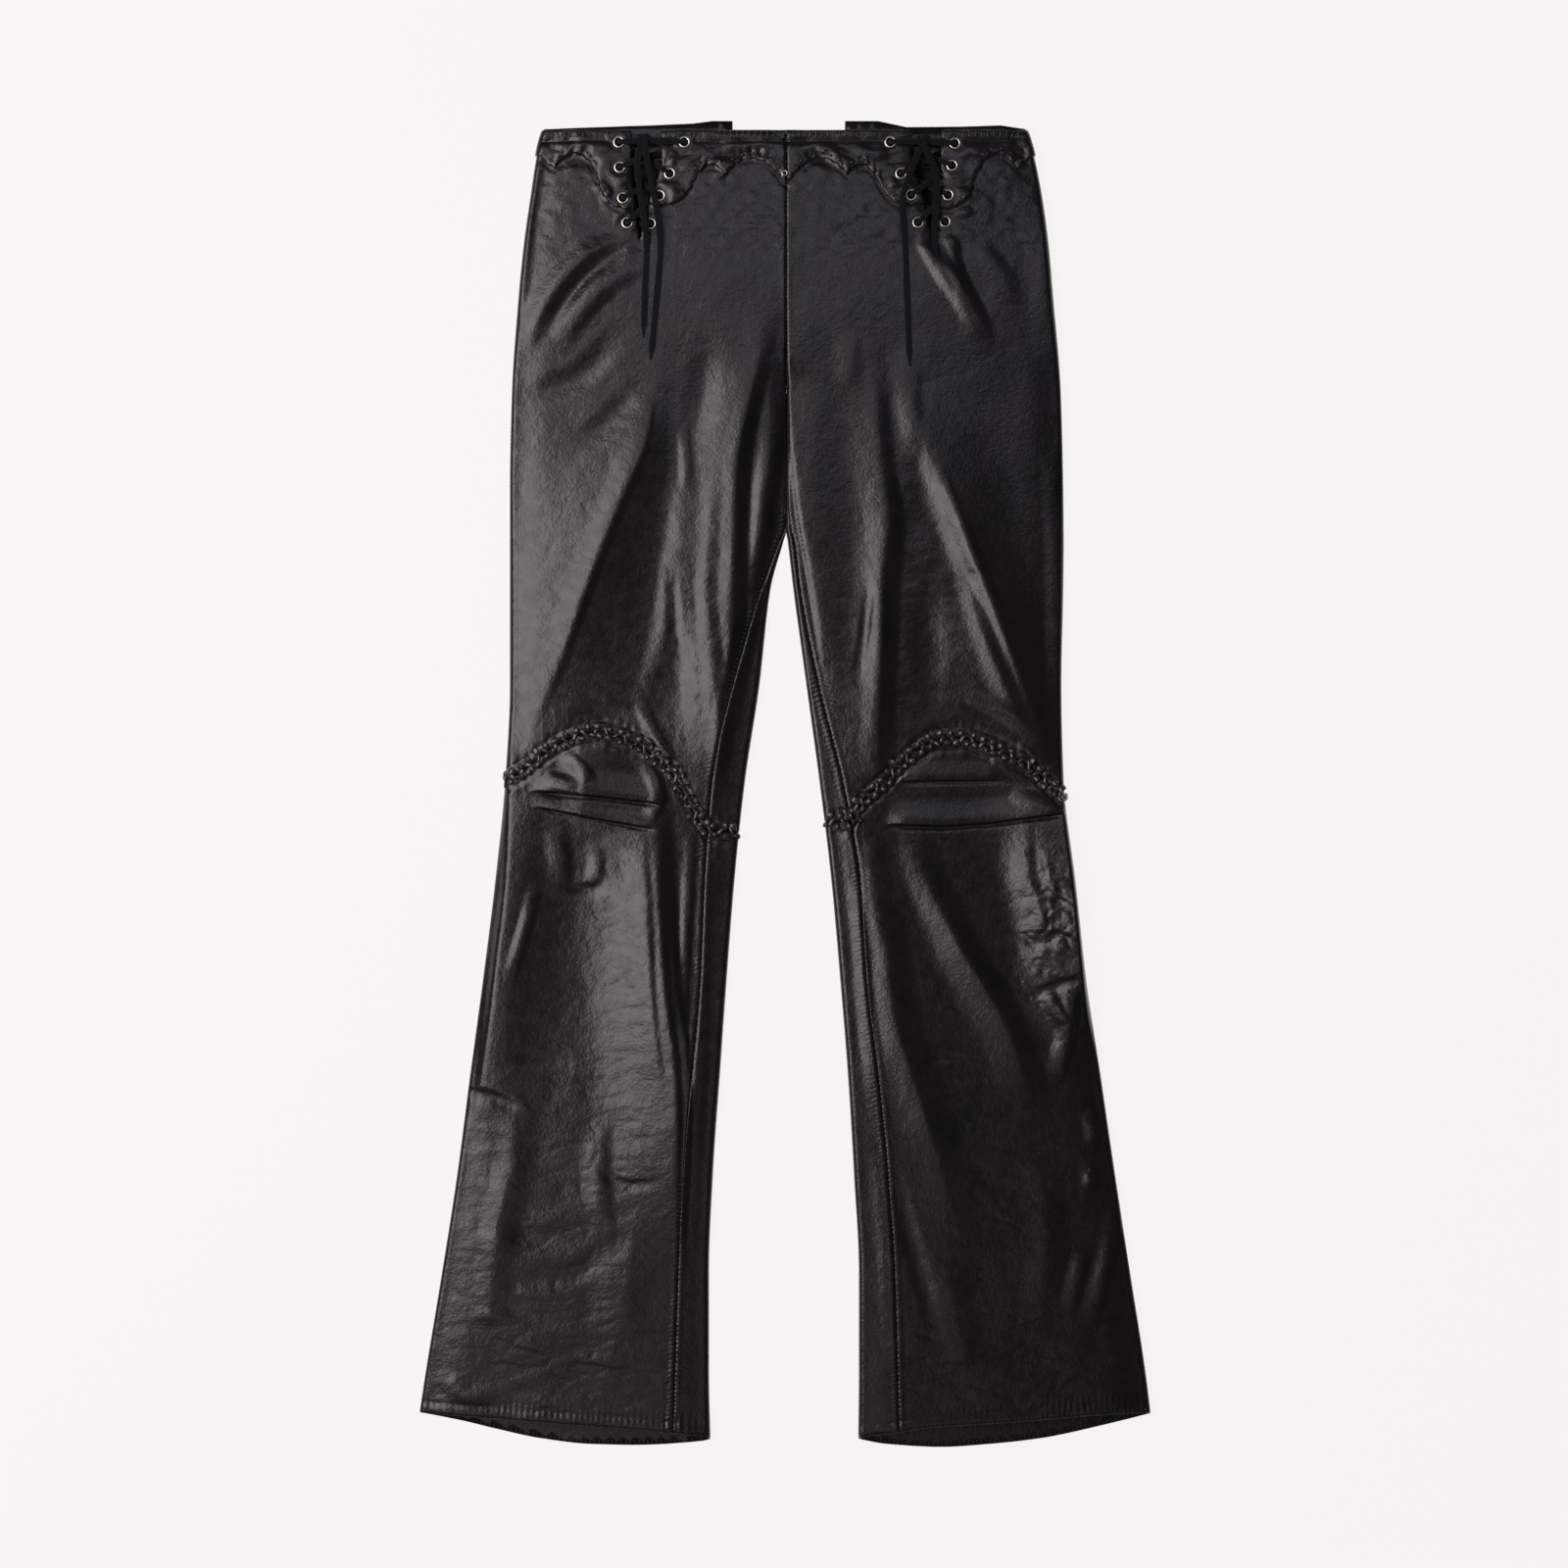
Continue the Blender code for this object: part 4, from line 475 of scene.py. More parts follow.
# Small folds of the waistband and round the lacing, where it holds the leather in
BAND_CREASES = (
    Crease("left", 4, 3, 0.9, ((-61, 488), (-40, 493), (-15, 497))),
    Crease("left", 5, 4, 1.0, ((-78, 481), (-70, 487), (-60, 493))),
    Crease("left", 2.6, 2.4, 0.9, ((-89, 496), (-92, 488), (-96, 478))),
    Crease("left", 2.6, 2.4, 0.8, ((-84, 495), (-86, 486), (-89, 477))),
    Crease("left", 5, 4, 0.9, ((-100, 470), (-92, 468), (-82, 461))),
    Crease("left", 5, 4, 0.8, ((-90, 462), (-84, 456), (-76, 456))),
    Crease("left", 9, 6, 1.5, ((-136, 480), (-126, 472), (-121, 462))),
    Crease("left", 8, 5, 1.2, ((-146, 468), (-138, 460), (-134, 450))),
    Crease("left", 12, 8, 1.6, ((-166, 500), (-150, 494), (-132, 490))),
    Crease("left", 3, 3, -1.1, ((-158, 492), (-153, 491.5), (-148, 492))),
    Crease("left", 5, 5, -1.0, ((-180, 498), (-160, 503), (-142, 502))),
    Crease("left", 6, 5, -0.9, ((-186, 478), (-166, 484), (-140, 482))),
    Crease("left", 6, 5, 0.9, ((-52, 468), (-48, 476), (-40, 484))),
    Crease("left", 5, 4, 0.8, ((-34, 480), (-24, 484), (-10, 481))),
    Crease("left", 8, 6, 1.2, ((-128, 447), (-124, 441), (-126, 434))),
    Crease("left", 9, 8, -1.0, ((-60, 500), (-36, 488), (-8, 489))),
    Crease("left", 7, 6, 1.1, ((-114, 416), (-120, 408), (-130, 402))),
    Crease("right", 5, 4, 1.0, ((24, 497), (38, 491), (54, 485))),
    Crease("right", 5, 4, 0.9, ((34, 489), (46, 482), (58, 479))),
    Crease("right", 5, 5, -1.0, ((10, 492), (26, 486), (40, 478))),
    Crease("right", 6, 4, 0.9, ((58, 491), (68, 488), (76, 489))),
    Crease("right", 4, 3, 0.9, ((80, 470), (86, 466), (92, 468))),
    Crease("right", 5, 4, 0.8, ((134, 488), (150, 492), (168, 488))),
    Crease("right", 6, 5, -0.9, ((140, 500), (162, 500), (184, 496))),
    Crease("right", 8, 6, 1.2, ((132, 462), (138, 458), (146, 458))),
    Crease("right", 6, 5, 0.9, ((132, 446), (139, 444), (146, 448))),
    Crease("right", 5, 5, -0.9, ((178, 500), (184, 490), (186, 480))),
    Crease("right", 6, 5, 1.4, ((128, 424), (132, 416), (131, 404))),
    Crease("right", 5, 4, 1.2, ((107, 420), (111, 412), (114, 402))),
    Crease("right", 5, 4, -1.0, ((118, 416), (121, 408), (122, 398))),
)

# Pressed tucks across the knee: the leather above the line steps down over the leather below it
Tuck = namedtuple("Tuck", "leg height run drop line")
TUCKS = (
    Tuck("left", 2.8, 22.0, 1.6, ((96.0, -14.6), (143.3, -9.3), (191.0, -5.0))),
    Tuck("left", 2.1, 12.0, 1.6, ((104.0, -33.6), (148.6, -26.0), (190.0, -17.6))),
    Tuck("right", 1.6, 18.0, 1.8, ((93.0, 3.0), (130.0, 3.6), (168.0, 4.0))),
    Tuck("right", 2.8, 22.0, 1.6, ((84.0, -31.0), (122.7, -32.4), (162.0, -29.6), (215.0, -22.4))),
)
TUCK_ENDS = (8.0, 12.0)

# Fine wrinkles: zones of the leather, and how deep each kind is there
Zone = namedtuple("Zone", "leg x y spread depth")
CROSS_WRINKLES = (
    Zone("left", -175, -330, (85, 100), 0.6),
    Zone("left", -130, -200, (50, 90), 0.35),
    Zone("left", -150, -460, (120, 50), 0.7),
    Zone("left", -60, 100, (40, 100), 0.4),
    Zone("left", -170, 180, (60, 150), 0.35),
    Zone("left", -140, -60, (60, 30), 0.4),
    Zone("right", 180, -350, (90, 100), 0.5),
    Zone("right", 170, -460, (120, 50), 0.7),
    Zone("right", 90, 150, (60, 110), 0.3),
    Zone("right", 212, -110, (32, 60), 0.6),
)
CRAZED = (
    Zone("right", 208, -110, (30, 62), 1.0),
    Zone("left", -122, -120, (26, 60), 0.35),
    Zone("left", -70, 130, (30, 70), 0.3),
    Zone("right", 96, 120, (40, 60), 0.25),
)

Leg = namedtuple("Leg", "name side outer inner inseam knee front_hem back_hem")


# ---------------------------------------------------------------- finishes


def linear(hex_colour):
    """An sRGB hex value as linear light."""
    channels = [int(hex_colour[i:i + 2], 16) / 255 for i in (1, 3, 5)]
    return (*(c / 12.92 if c <= 0.04045 else ((c + 0.055) / 1.055) ** 2.4 for c in channels), 1.0)


def add_node(tree, kind, inputs=None, **settings):
    """A node with its settings; each input is a value, or another node's output to link."""
    node = tree.nodes.new(kind)
    for name, value in settings.items():
        setattr(node, name, value)
    for name, value in (inputs or {}).items():
        if isinstance(value, bpy.types.NodeSocket):
            tree.links.new(value, node.inputs[name])
        else:
            node.inputs[name].default_value = value
    return node


def per_metre(millimetres):
    """A pattern's scale, from the real size of one of its marks."""
    return 1000 / millimetres


def new_finish(name, **constants):
    """A material's node tree, its main shader and its object coordinates."""
    made = bpy.data.materials.new(name)
    made.use_nodes = True
    tree = made.node_tree
    shader = tree.nodes["Principled BSDF"]
    for socket, value in constants.items():
        shader.inputs[socket.replace("_", " ")].default_value = value
    return made, tree, shader, add_node(tree, "ShaderNodeTexCoord").outputs["Object"]


def pattern_sockets(place, pattern):
    """What an uneven pattern is made from: where it lies, how large its marks are, how broken up it is."""
    return {
        "Vector": place, "Scale": per_metre(pattern.size),
        "Detail": pattern.detail, "Distortion": pattern.distortion,
    }


def range_sockets(value, low, high, start=0.0, end=1.0):
    """A value taken from one range to another."""
    return {"Value": value, "From Min": low, "From Max": high, "To Min": start, "To Max": end}


def one_pattern_finish(name, pattern, colours, relief, gloss=None, **constants):
    """A material whose colour, relief and gloss all follow one fine uneven pattern."""
    made, tree, shader, place = new_finish(name, **constants)
    marks = add_node(tree, "ShaderNodeTexNoise", pattern_sockets(place, pattern)).outputs["Fac"]
    first, second = (linear(colour) for colour in colours)
    colour = add_node(tree, "ShaderNodeMix", {0: marks, 6: first, 7: second}, data_type="RGBA")
    tree.links.new(colour.outputs[2], shader.inputs["Base Color"])
    depth, strength = relief
    bump = add_node(tree, "ShaderNodeBump", {"Height": marks, "Distance": depth * MM, "Strength": strength})
    tree.links.new(bump.outputs["Normal"], shader.inputs["Normal"])
    if gloss:
        worn = add_node(tree, "ShaderNodeMapRange", range_sockets(marks, *MARK_RANGE, *gloss))
        tree.links.new(worn.outputs["Result"], shader.inputs["Roughness"])
    return made


def drum_dyed_nappa():
    """Lamb nappa, dyed through in the drum and glazed: near black, with a soft broken gloss.

    The dye lies a little bluer over the hips and browner at the shins, the glaze is worn uneven, and the
    hair pores and drawn grain break up every highlight. The pores and the grain are drawn coarser than
    life, because the real ones are too fine to show from a step away.
    """
    made, tree, shader, place = new_finish(
        "drum_dyed_nappa", IOR=1.5, Coat_Weight=0.12, Coat_Roughness=0.22
    )
    marks = {
        kind: add_node(tree, "ShaderNodeTexNoise", pattern_sockets(place, pattern)).outputs["Fac"]
        for kind, pattern in NAPPA_MARKS.items()
    }
    up = add_node(tree, "ShaderNodeSeparateXYZ", {"Vector": place}).outputs["Y"]
    along = add_node(tree, "ShaderNodeMapRange", range_sockets(up, *DYE_TURNS)).outputs["Result"]
    shins_to_hips = {0: along, 6: linear("#1d1415"), 7: linear("#19161a")}
    dye = add_node(tree, "ShaderNodeMix", shins_to_hips, data_type="RGBA").outputs[2]
    cloud = add_node(tree, "ShaderNodeMapRange", range_sockets(marks["cloud"], 0.35, 0.7)).outputs["Result"]
    deep = add_node(tree, "ShaderNodeMix", {0: cloud, 6: dye, 7: linear("#0e0c0e")}, data_type="RGBA")
    tree.links.new(deep.outputs[2], shader.inputs["Base Color"])
    worn = add_node(tree, "ShaderNodeMapRange", range_sockets(marks["wear"], *MARK_RANGE, 0.24, 0.36))
    tree.links.new(worn.outputs["Result"], shader.inputs["Roughness"])
    pores = add_node(
        tree, "ShaderNodeTexVoronoi", {"Vector": place, "Scale": per_metre(PORE_SPACING)},
        voronoi_dimensions="2D",
    )
    # Soft dimples, the drawn grain over them and the pores on top
    layers = (
        (marks["dimples"], 0.32, 0.4),
        (marks["drawn"], 0.42, 0.6),
        (pores.outputs["Distance"], 0.16, 0.5),
    )
    under = {}
    for height, depth, strength in layers:
        sockets = {"Height": height, "Distance": depth * MM, "Strength": strength, **under}
        under = {"Normal": add_node(tree, "ShaderNodeBump", sockets).outputs["Normal"]}
    tree.links.new(under["Normal"], shader.inputs["Normal"])
    return made


def flesh_side():
    """The split side of the same skin: matt, with a short nap that hardly reflects."""
    return one_pattern_finish(
        "nappa_flesh_side", Pattern(1.6, 4.0), ("#0b0a0b", "#1a181a"), (0.2, 0.5), IOR=1.45, Roughness=0.85
    )


def glazed_thong():
    """Round-edged lacing thong of glazed calf, the same black leather, polished by being pulled through. Its
    colour is a lighter grey than the nappa's, which is partly painted sheen for the light that its loops
    catch.
    """
    # the lighter of these greys is partly painted sheen, not the leather's own colour
    return one_pattern_finish(
        "glazed_calf_thong", Pattern(2.2, 3.0), ("#1a1617", "#3a3435"), (0.18, 0.4), (0.26, 0.4),
        IOR=1.5, Coat_Weight=0.5, Coat_Roughness=0.2,
    )


def split_suede():
    """Flat lace cut from dyed suede split: dead black with a bluish nap, and no gloss."""
    return one_pattern_finish(
        "dyed_suede_split", Pattern(0.9, 4.0), ("#07070a", "#131419"), (0.25, 0.6),
        IOR=1.4, Roughness=0.95, Sheen_Weight=0.12, Sheen_Roughness=0.5,
    )


def nickel_plate():
    """Nickel plate on pressed brass: bright and a little warm, with fine rubbed scratches."""
    return one_pattern_finish(
        "nickel_plate", Pattern(1.1, 5.0, 0.8), ("#b9b0a2", "#e4ded2"), (0.05, 0.3), (0.16, 0.3), Metallic=1.0
    )


def waxed_thread():
    """Bonded nylon thread, waxed: a dark grey that catches the light along its ply."""
    return one_pattern_finish(
        "waxed_nylon_thread", Pattern(0.6, 2.0), ("#1b191a", "#393637"), (0.1, 0.5), (0.35, 0.5),
        IOR=1.5, Sheen_Weight=0.2,
    )


def light_table():
    """A pale opal table top, lit from below: an even ground with hardly a shadow."""
    made, tree, shader, place = new_finish("opal_table_top", Roughness=0.9, Emission_Strength=0.955)
    haze = add_node(tree, "ShaderNodeTexNoise", pattern_sockets(place, Pattern(900, 1.0))).outputs["Fac"]
    tones = {0: haze, 6: linear("#f8f6f5"), 7: linear("#f7f5f4")}
    pale = add_node(tree, "ShaderNodeMix", tones, data_type="RGBA").outputs[2]
    tree.links.new(pale, shader.inputs["Emission Color"])
    shader.inputs["Base Color"].default_value = linear("#4a4948")
    shader.inputs["Specular IOR Level"].default_value = 0.0
    return made


FINISHES = {
    "leather": drum_dyed_nappa(),
    "flesh": flesh_side(),
    "thong": glazed_thong(),
    "suede": split_suede(),
    "nickel": nickel_plate(),
    "thread": waxed_thread(),
    "table": light_table(),
}


# ---------------------------------------------------------------- camera, table and lights


def set_camera():
    """A camera straight above the middle of the garment."""
    camera = bpy.data.cameras.new("overhead_camera")
    camera.lens, camera.sensor_width = LENS, SENSOR
    stand = bpy.data.objects.new("overhead_camera", camera)
    stand.location = (0, 0, CAMERA_HEIGHT)
    bpy.context.scene.collection.objects.link(stand)
    bpy.context.scene.camera = stand


def add_softbox(softbox):
    """A rectangular light that faces straight down."""
    light = bpy.data.lights.new(softbox.name, "AREA")
    light.shape = "RECTANGLE"
    light.size, light.size_y = softbox.size
    light.energy = softbox.watts
    light.color = linear(softbox.tone)[:3]
    box = bpy.data.objects.new(softbox.name, light)
    box.location = softbox.place
    bpy.context.scene.collection.objects.link(box)


def set_lights():
    """The softboxes and a dim grey room."""
    for softbox in SOFTBOXES:
        add_softbox(softbox)
    world = bpy.data.worlds.new("grey_room")
    bpy.context.scene.world = world
    world.use_nodes = True
    room = world.node_tree.nodes["Background"]
    room.inputs["Color"].default_value = linear(ROOM_TONE)
    room.inputs["Strength"].default_value = ROOM_STRENGTH
    bpy.context.scene.view_settings.view_transform = "Standard"


def add_table():
    """The surface that the garment lies on, which is no part of it."""
    bpy.ops.object.select_all(action="DESELECT")
    bpy.ops.mesh.primitive_plane_add(size=8, location=(0, 0, 0))
    table = bpy.context.active_object
    table.name = table.data.name = "table_top"
    table.data.materials.append(FINISHES["table"])


# ---------------------------------------------------------------- the form of the laid garment


def smooth_curve(points, samples=1500):
    """A function through a table's points, curved but without overshoot."""
    knots, values = (np.array(column, float) for column in zip(*sorted(points)))
    rise = np.diff(values) / np.diff(knots)
    slope = np.concatenate([rise[:1], np.zeros(len(knots) - 2), rise[-1:]])
    for i in range(1, len(knots) - 1):
        if rise[i - 1] * rise[i] > 0:
            slope[i] = 2 / (1 / rise[i - 1] + 1 / rise[i])
    at = np.linspace(knots[0], knots[-1], samples)
    i = np.clip(np.searchsorted(knots, at, side="right") - 1, 0, len(knots) - 2)
    step = knots[i + 1] - knots[i]
    t = (at - knots[i]) / step
    start = values[i] * (1 + 2 * t) * (1 - t) ** 2 + slope[i] * step * t * (1 - t) ** 2
    end = values[i + 1] * t * t * (3 - 2 * t) + slope[i + 1] * step * t * t * (t - 1)
    return lambda where: np.interp(where, at, start + end)


def smooth_step(value, low, high):
    """0 below the low value, 1 above the high one, and a smooth rise between them."""
    t = np.clip((value - low) / (high - low), 0.0, 1.0)
    return t * t * (3 - 2 * t)


def make_leg(name, side):
    """One leg and its half of the hips, with its edges and seams as functions of the height."""
    def column(kind):
        return smooth_curve([(row.y, getattr(row, f"{kind}_{name}")) for row in SECTIONS])

    return Leg(
        name, side, column("outer"), column("inner"), column("inseam"),
        smooth_curve(KNEE_SEAM[name]), smooth_curve(FRONT_HEM[name]), smooth_curve(BACK_HEM[name]),
    )


def leg_share(y):
    """0 on the hips, where the tube is one, and 1 down the legs, where each has an inner fold."""
    return 1 - smooth_step(y, *CROTCH)


def quarter_roll():
    """How much longer a quarter of a rolled edge is than it is wide."""
    return (math.pi / 2 - 1) * FOLD_RADIUS


def outer_edge(leg, y):
    """Chart place of the outer fold's furthest line, where front and back meet."""
    return leg.outer(y) + quarter_roll()


def inner_edge(leg, y):
    """Chart place of the inner fold's furthest line, where the back comes round on to the top."""
    return leg.inner(y) - quarter_roll()


def inseam(leg, y):
    """Chart place of the inseam, which leaves the fold below the crotch and climbs on to the top."""
    in_from_fold = np.clip(leg.inseam(y) - leg.inner(y), 0, None)
    on_roll = leg.inner(y) + FOLD_RADIUS * (1 - np.arcsin(np.clip(1 - in_from_fold / FOLD_RADIUS, 0, 1)))
    return np.where(in_from_fold < FOLD_RADIUS, on_roll, leg.inseam(y))


def centre_shift(leg):
    """From a distance out of the centre seam to a chart place."""
    return leg.side * CENTRE_X


def back_shift(leg):
    """The back's centre seam, a little out of line with the front's."""
    return leg.side * (CENTRE_X - BACK_SEAM_OFF)


def front_inner(leg, y):
    """Inner edge of the front: centre front on the hips, then the inseam."""
    return centre_shift(leg) + leg_share(y) * (inseam(leg, y) - centre_shift(leg)) + JOIN


def back_inner(leg, y):
    """Inner edge of the back: centre back on the hips, then round the fold to the inseam."""
    round_fold = 2 * inner_edge(leg, y) - inseam(leg, y)
    return back_shift(leg) + leg_share(y) * (round_fold - back_shift(leg)) + JOIN


def run_along(line):
    """The distance along a line at each of its points."""
    return np.concatenate([[0], np.cumsum(np.linalg.norm(np.diff(line, axis=0), axis=1))])


def smooth_path(points, step):
    """Points about step apart on one smooth curve through a path's own points."""
    points = np.array(points, float)
    if len(points) > 2:
        p = np.concatenate([[2 * points[0] - points[1]], points, [2 * points[-1] - points[-2]]])
        dense = []
        for before, start, end, after in zip(p, p[1:], p[2:], p[3:]):
            t = np.linspace(0, 1, 12, endpoint=False)[:, None]
            bend = (2 * before - 5 * start + 4 * end - after) * t ** 2
            bend = bend + (3 * start - before - 3 * end + after) * t ** 3
            dense.append((2 * start + (end - before) * t + bend) / 2)
        points = np.concatenate([*dense, points[-1:]])
    run = run_along(points)
    at = np.linspace(0, run[-1], math.ceil(run[-1] / step) + 1)
    return np.stack([np.interp(at, run, column) for column in points.T], axis=1)


def crease_height(crease, x, y):
    """A ridge or trough with a flank of its own on each side, that fades out towards both ends."""
    path = smooth_path(crease.path, CREASE_STEP)
    reach = max(*np.broadcast_to(crease.west, 2), *np.broadcast_to(crease.east, 2))
    low, high = path.min(axis=0) - reach, path.max(axis=0) + reach
    near = (x > low[0]) & (x < high[0]) & (y > low[1]) & (y < high[1])
    height = np.zeros(np.shape(x))
    px, py = x[near], y[near]
    lengths = np.linalg.norm(np.diff(path, axis=0), axis=1)
    run = np.concatenate([[0], np.cumsum(lengths)])
    nearest, along, across = np.full(px.shape, np.inf), np.zeros(px.shape), np.zeros(px.shape)
    for start, end, length, before in zip(path, path[1:], lengths, run):
        ahead = (end - start) / length
        east = np.array([ahead[1], -ahead[0]])
        east *= 1 if east[0] + 0.2 * east[1] > 0 else -1
        t = np.clip((px - start[0]) * ahead[0] + (py - start[1]) * ahead[1], 0, length)
        dx, dy = px - start[0] - t * ahead[0], py - start[1] - t * ahead[1]
        away = np.hypot(dx, dy)
        closer = away < nearest
        nearest = np.where(closer, away, nearest)
        along = np.where(closer, (before + t) / run[-1], along)
        across = np.where(closer, dx * east[0] + dy * east[1], across)
    lean = (1 + across / np.maximum(nearest, 1e-6)) / 2
    west, east = (np.interp(along, (0, 1), np.broadcast_to(side, 2)) for side in (crease.west, crease.east))
    width = west + (east - west) * lean
    fade = np.sin(math.pi * (CREASE_ENDS + (1 - 2 * CREASE_ENDS) * along)) ** 0.8
    rounding = CREST_ROUND / width
    share = np.clip(np.hypot(nearest / width, rounding) - rounding, 0, 1)
    sharp = SHARPEST * smooth_step(width, *SHARPENED)
    profile = sharp * (1 - share) ** 2 + (1 - sharp) * (1 + np.cos(math.pi * share)) / 2
    height[near] = crease.height * fade * profile
    return height


def hump(away, width):
    """1 in the middle, and less and less on both sides, over about the width."""
    return np.exp(-((away / width) ** 2))


def raised(welt, away):
    """A ridge, or a groove where the height is negative, beside a line."""
    return welt.height * hump(away - welt.place, welt.width)


def tuck_height(tuck, a, y):
    """A step down over the leather below it, with a sharp groove at its foot."""
    outs, heights = zip(*tuck.line)
    above = y - np.interp(a, outs, heights)
    step = np.where(above > 0, 1 - smooth_step(above, 0, tuck.run), smooth_step(above, -tuck.drop, 0))
    outside, inside = TUCK_ENDS
    ends = smooth_step(a, outs[0] - outside, outs[0] + inside)
    ends = ends * (1 - smooth_step(a, outs[-1] - inside, outs[-1] + outside))
    groove = TUCK_GROOVE.height * np.exp(-np.abs(above + tuck.drop + TUCK_GROOVE.place) / TUCK_GROOVE.width)
    return tuck.height * (step - groove) * ends


def cloudy(x, y, size, seed):
    """Smooth uneven hills and hollows from -1 to 1, about as far apart as size."""
    table = np.random.default_rng(seed).uniform(-1, 1, (CLOUD_CELLS, CLOUD_CELLS))
    u, v = x / size[0] + CLOUD_START, y / size[1] + CLOUD_START
    i, j = np.floor(u).astype(int), np.floor(v).astype(int)
    fu, fv = (f * f * (3 - 2 * f) for f in (u - i, v - j))
    i0, i1, j0, j1 = (n % CLOUD_CELLS for n in (i, i + 1, j, j + 1))
    low = table[i0, j0] * (1 - fu) + table[i1, j0] * fu
    high = table[i0, j1] * (1 - fu) + table[i1, j1] * fu
    return low * (1 - fv) + high * fv


def drawn_lines(x, y, size, seed, width=0.16):
    """Narrow furrows where a cloudy field passes through zero, warped so that none runs straight."""
    warp = 0.35 * size[1] * cloudy(x, y, (size[1] * 2, size[1] * 2), seed + 7)
    field = cloudy(x + warp, y + warp, size, seed)
    field = field + 0.5 * cloudy(x, y + warp, (size[0] / 2, size[1] / 2), seed + 3)
    return np.exp(-((field / width) ** 2))


def layered(layers, x, y, seed):
    """Uneven hills of several sizes, one on another."""
    return sum(layer.depth * cloudy(x, y, layer.size, seed + layer.seed) for layer in layers)


def patchy(x, y, steady, varied, size, seed):
    """How strongly something is felt from place to place, never less than nothing."""
    return np.clip(steady + varied * cloudy(x, y, size, seed), 0, None)


def beside_seam(away, along, seed):
    """The ridge that the turnings raise beside a seam, drawn in at every few stitches."""
    uneven = patchy(along, away * 0, 0.55, 0.9, (21.0, 50.0), seed)
    phase = 2 * math.pi * (along + 0.35 * away) / PUCKER_PITCH
    phase = phase + 2.4 * cloudy(along, away * 0, (13.0, 50.0), seed + 1)
    drawn_in = ((1 + np.cos(phase)) / 2) ** 2.5
    return raised(INSEAM_WELT, away) - PUCKER_DEPTH * uneven * drawn_in * hump(away, PUCKER_REACH)


def share_of(zones, leg, x, y):
    """How strongly a list of zones is felt at each place."""
    share = np.zeros(np.shape(x))
    for zone in zones:
        if zone.leg == leg.name:
            across, along = (x - zone.x) / zone.spread[0], (y - zone.y) / zone.spread[1]
            share = share + zone.depth * np.exp(-(across ** 2) - along ** 2)
    return share


def knee_patch(leg, a, y):
    """1 on the smooth leather just under the arch of the knee lacing."""
    below = leg.knee(a) - y
    return smooth_step(below, 2, 10) * (1 - smooth_step(below, 44, 58)) * smooth_step(leg.knee(a), -20, 4)


def wrinkles(leg, x, y, seed):
    """Soft unevenness everywhere, ripples and furrows across the leg, and finely crazed leather."""
    furrows = drawn_lines(x, y, FURROWS.size, seed + FURROWS.seed)
    fine_cracks = drawn_lines(x, y, FINE_CRACKS.size, seed + FINE_CRACKS.seed, 0.2)
    cracks = drawn_lines(x, y, CRACKS.size, seed + CRACKS.seed) + FINE_CRACKS.depth * fine_cracks
    across = layered(RIPPLE, x, y, seed) - FURROWS.depth * furrows
    crazed = layered(CRINKLE, x, y, seed) - CRACKS.depth * cracks
    height = layered(UNEVEN, x, y, seed) + share_of(CROSS_WRINKLES, leg, x, y) * across
    return height + share_of(CRAZED, leg, x, y) * crazed


def fine_relief(leg, a, y):
    """Drawn wrinkles, seam ridges and puckers, too small for the panel's inner face."""
    x = leg.side * a
    seed = RELIEF_SEEDS[leg.name]
    height = wrinkles(leg, x, y, seed) * (1 - 0.75 * knee_patch(leg, a, y))
    inner = np.abs(a - front_inner(leg, y))
    height = height + beside_seam(inner, y, seed + 50) * leg_share(y)
    height = height + raised(CENTRE_WELT, inner) * (1 - leg_share(y))
    to_knee = np.abs(y - leg.knee(a))
    gathers = 0.12 * np.sin(2 * math.pi * a / LOOP_PITCH + 3 * cloudy(x, y, (15, 15), seed + 61))
    gathers = gathers + 0.4 * cloudy(x, y, (9, 9), seed + 60)
    height = height + gathers * raised(KNEE_GATHERS, to_knee) + raised(KNEE_GROOVE, to_knee)
    above_hem = y - leg.front_hem(a)
    puckers = np.sin(2 * math.pi * a / HEM_PUCKER_PITCH + 2.5 * cloudy(x, y, (19, 40), seed + 70))
    puckers = puckers * patchy(x, y, 0.5, 0.8, (33, 60), seed + 71)
    height = height + puckers * raised(HEM_PUCKERS, above_hem) + raised(HEM_GROOVE, above_hem)
    return height + HEM_RISE * (1 - smooth_step(above_hem, HEM_BAND - 1.2, HEM_BAND + 1.2))


def v_edge_out(edge, y):
    """How far out a V edge is at a height."""
    outs, ys = zip(*edge)
    return np.interp(y, ys[::-1], outs[::-1])


def edge_distance(leg, a, y, edge):
    """Distance from a V edge, both given on the chart."""
    return np.abs(a - centre_shift(leg) - v_edge_out(edge, y))


def band_edge(leg, a):
    """Height of the bands' scalloped edge at a place across the front."""
    shift = centre_shift(leg)
    places = scalloped(FRONT_BAND_EDGE, shift) + scalloped(SIDE_BAND_EDGE, shift)
    return np.interp(a, *zip(*places))


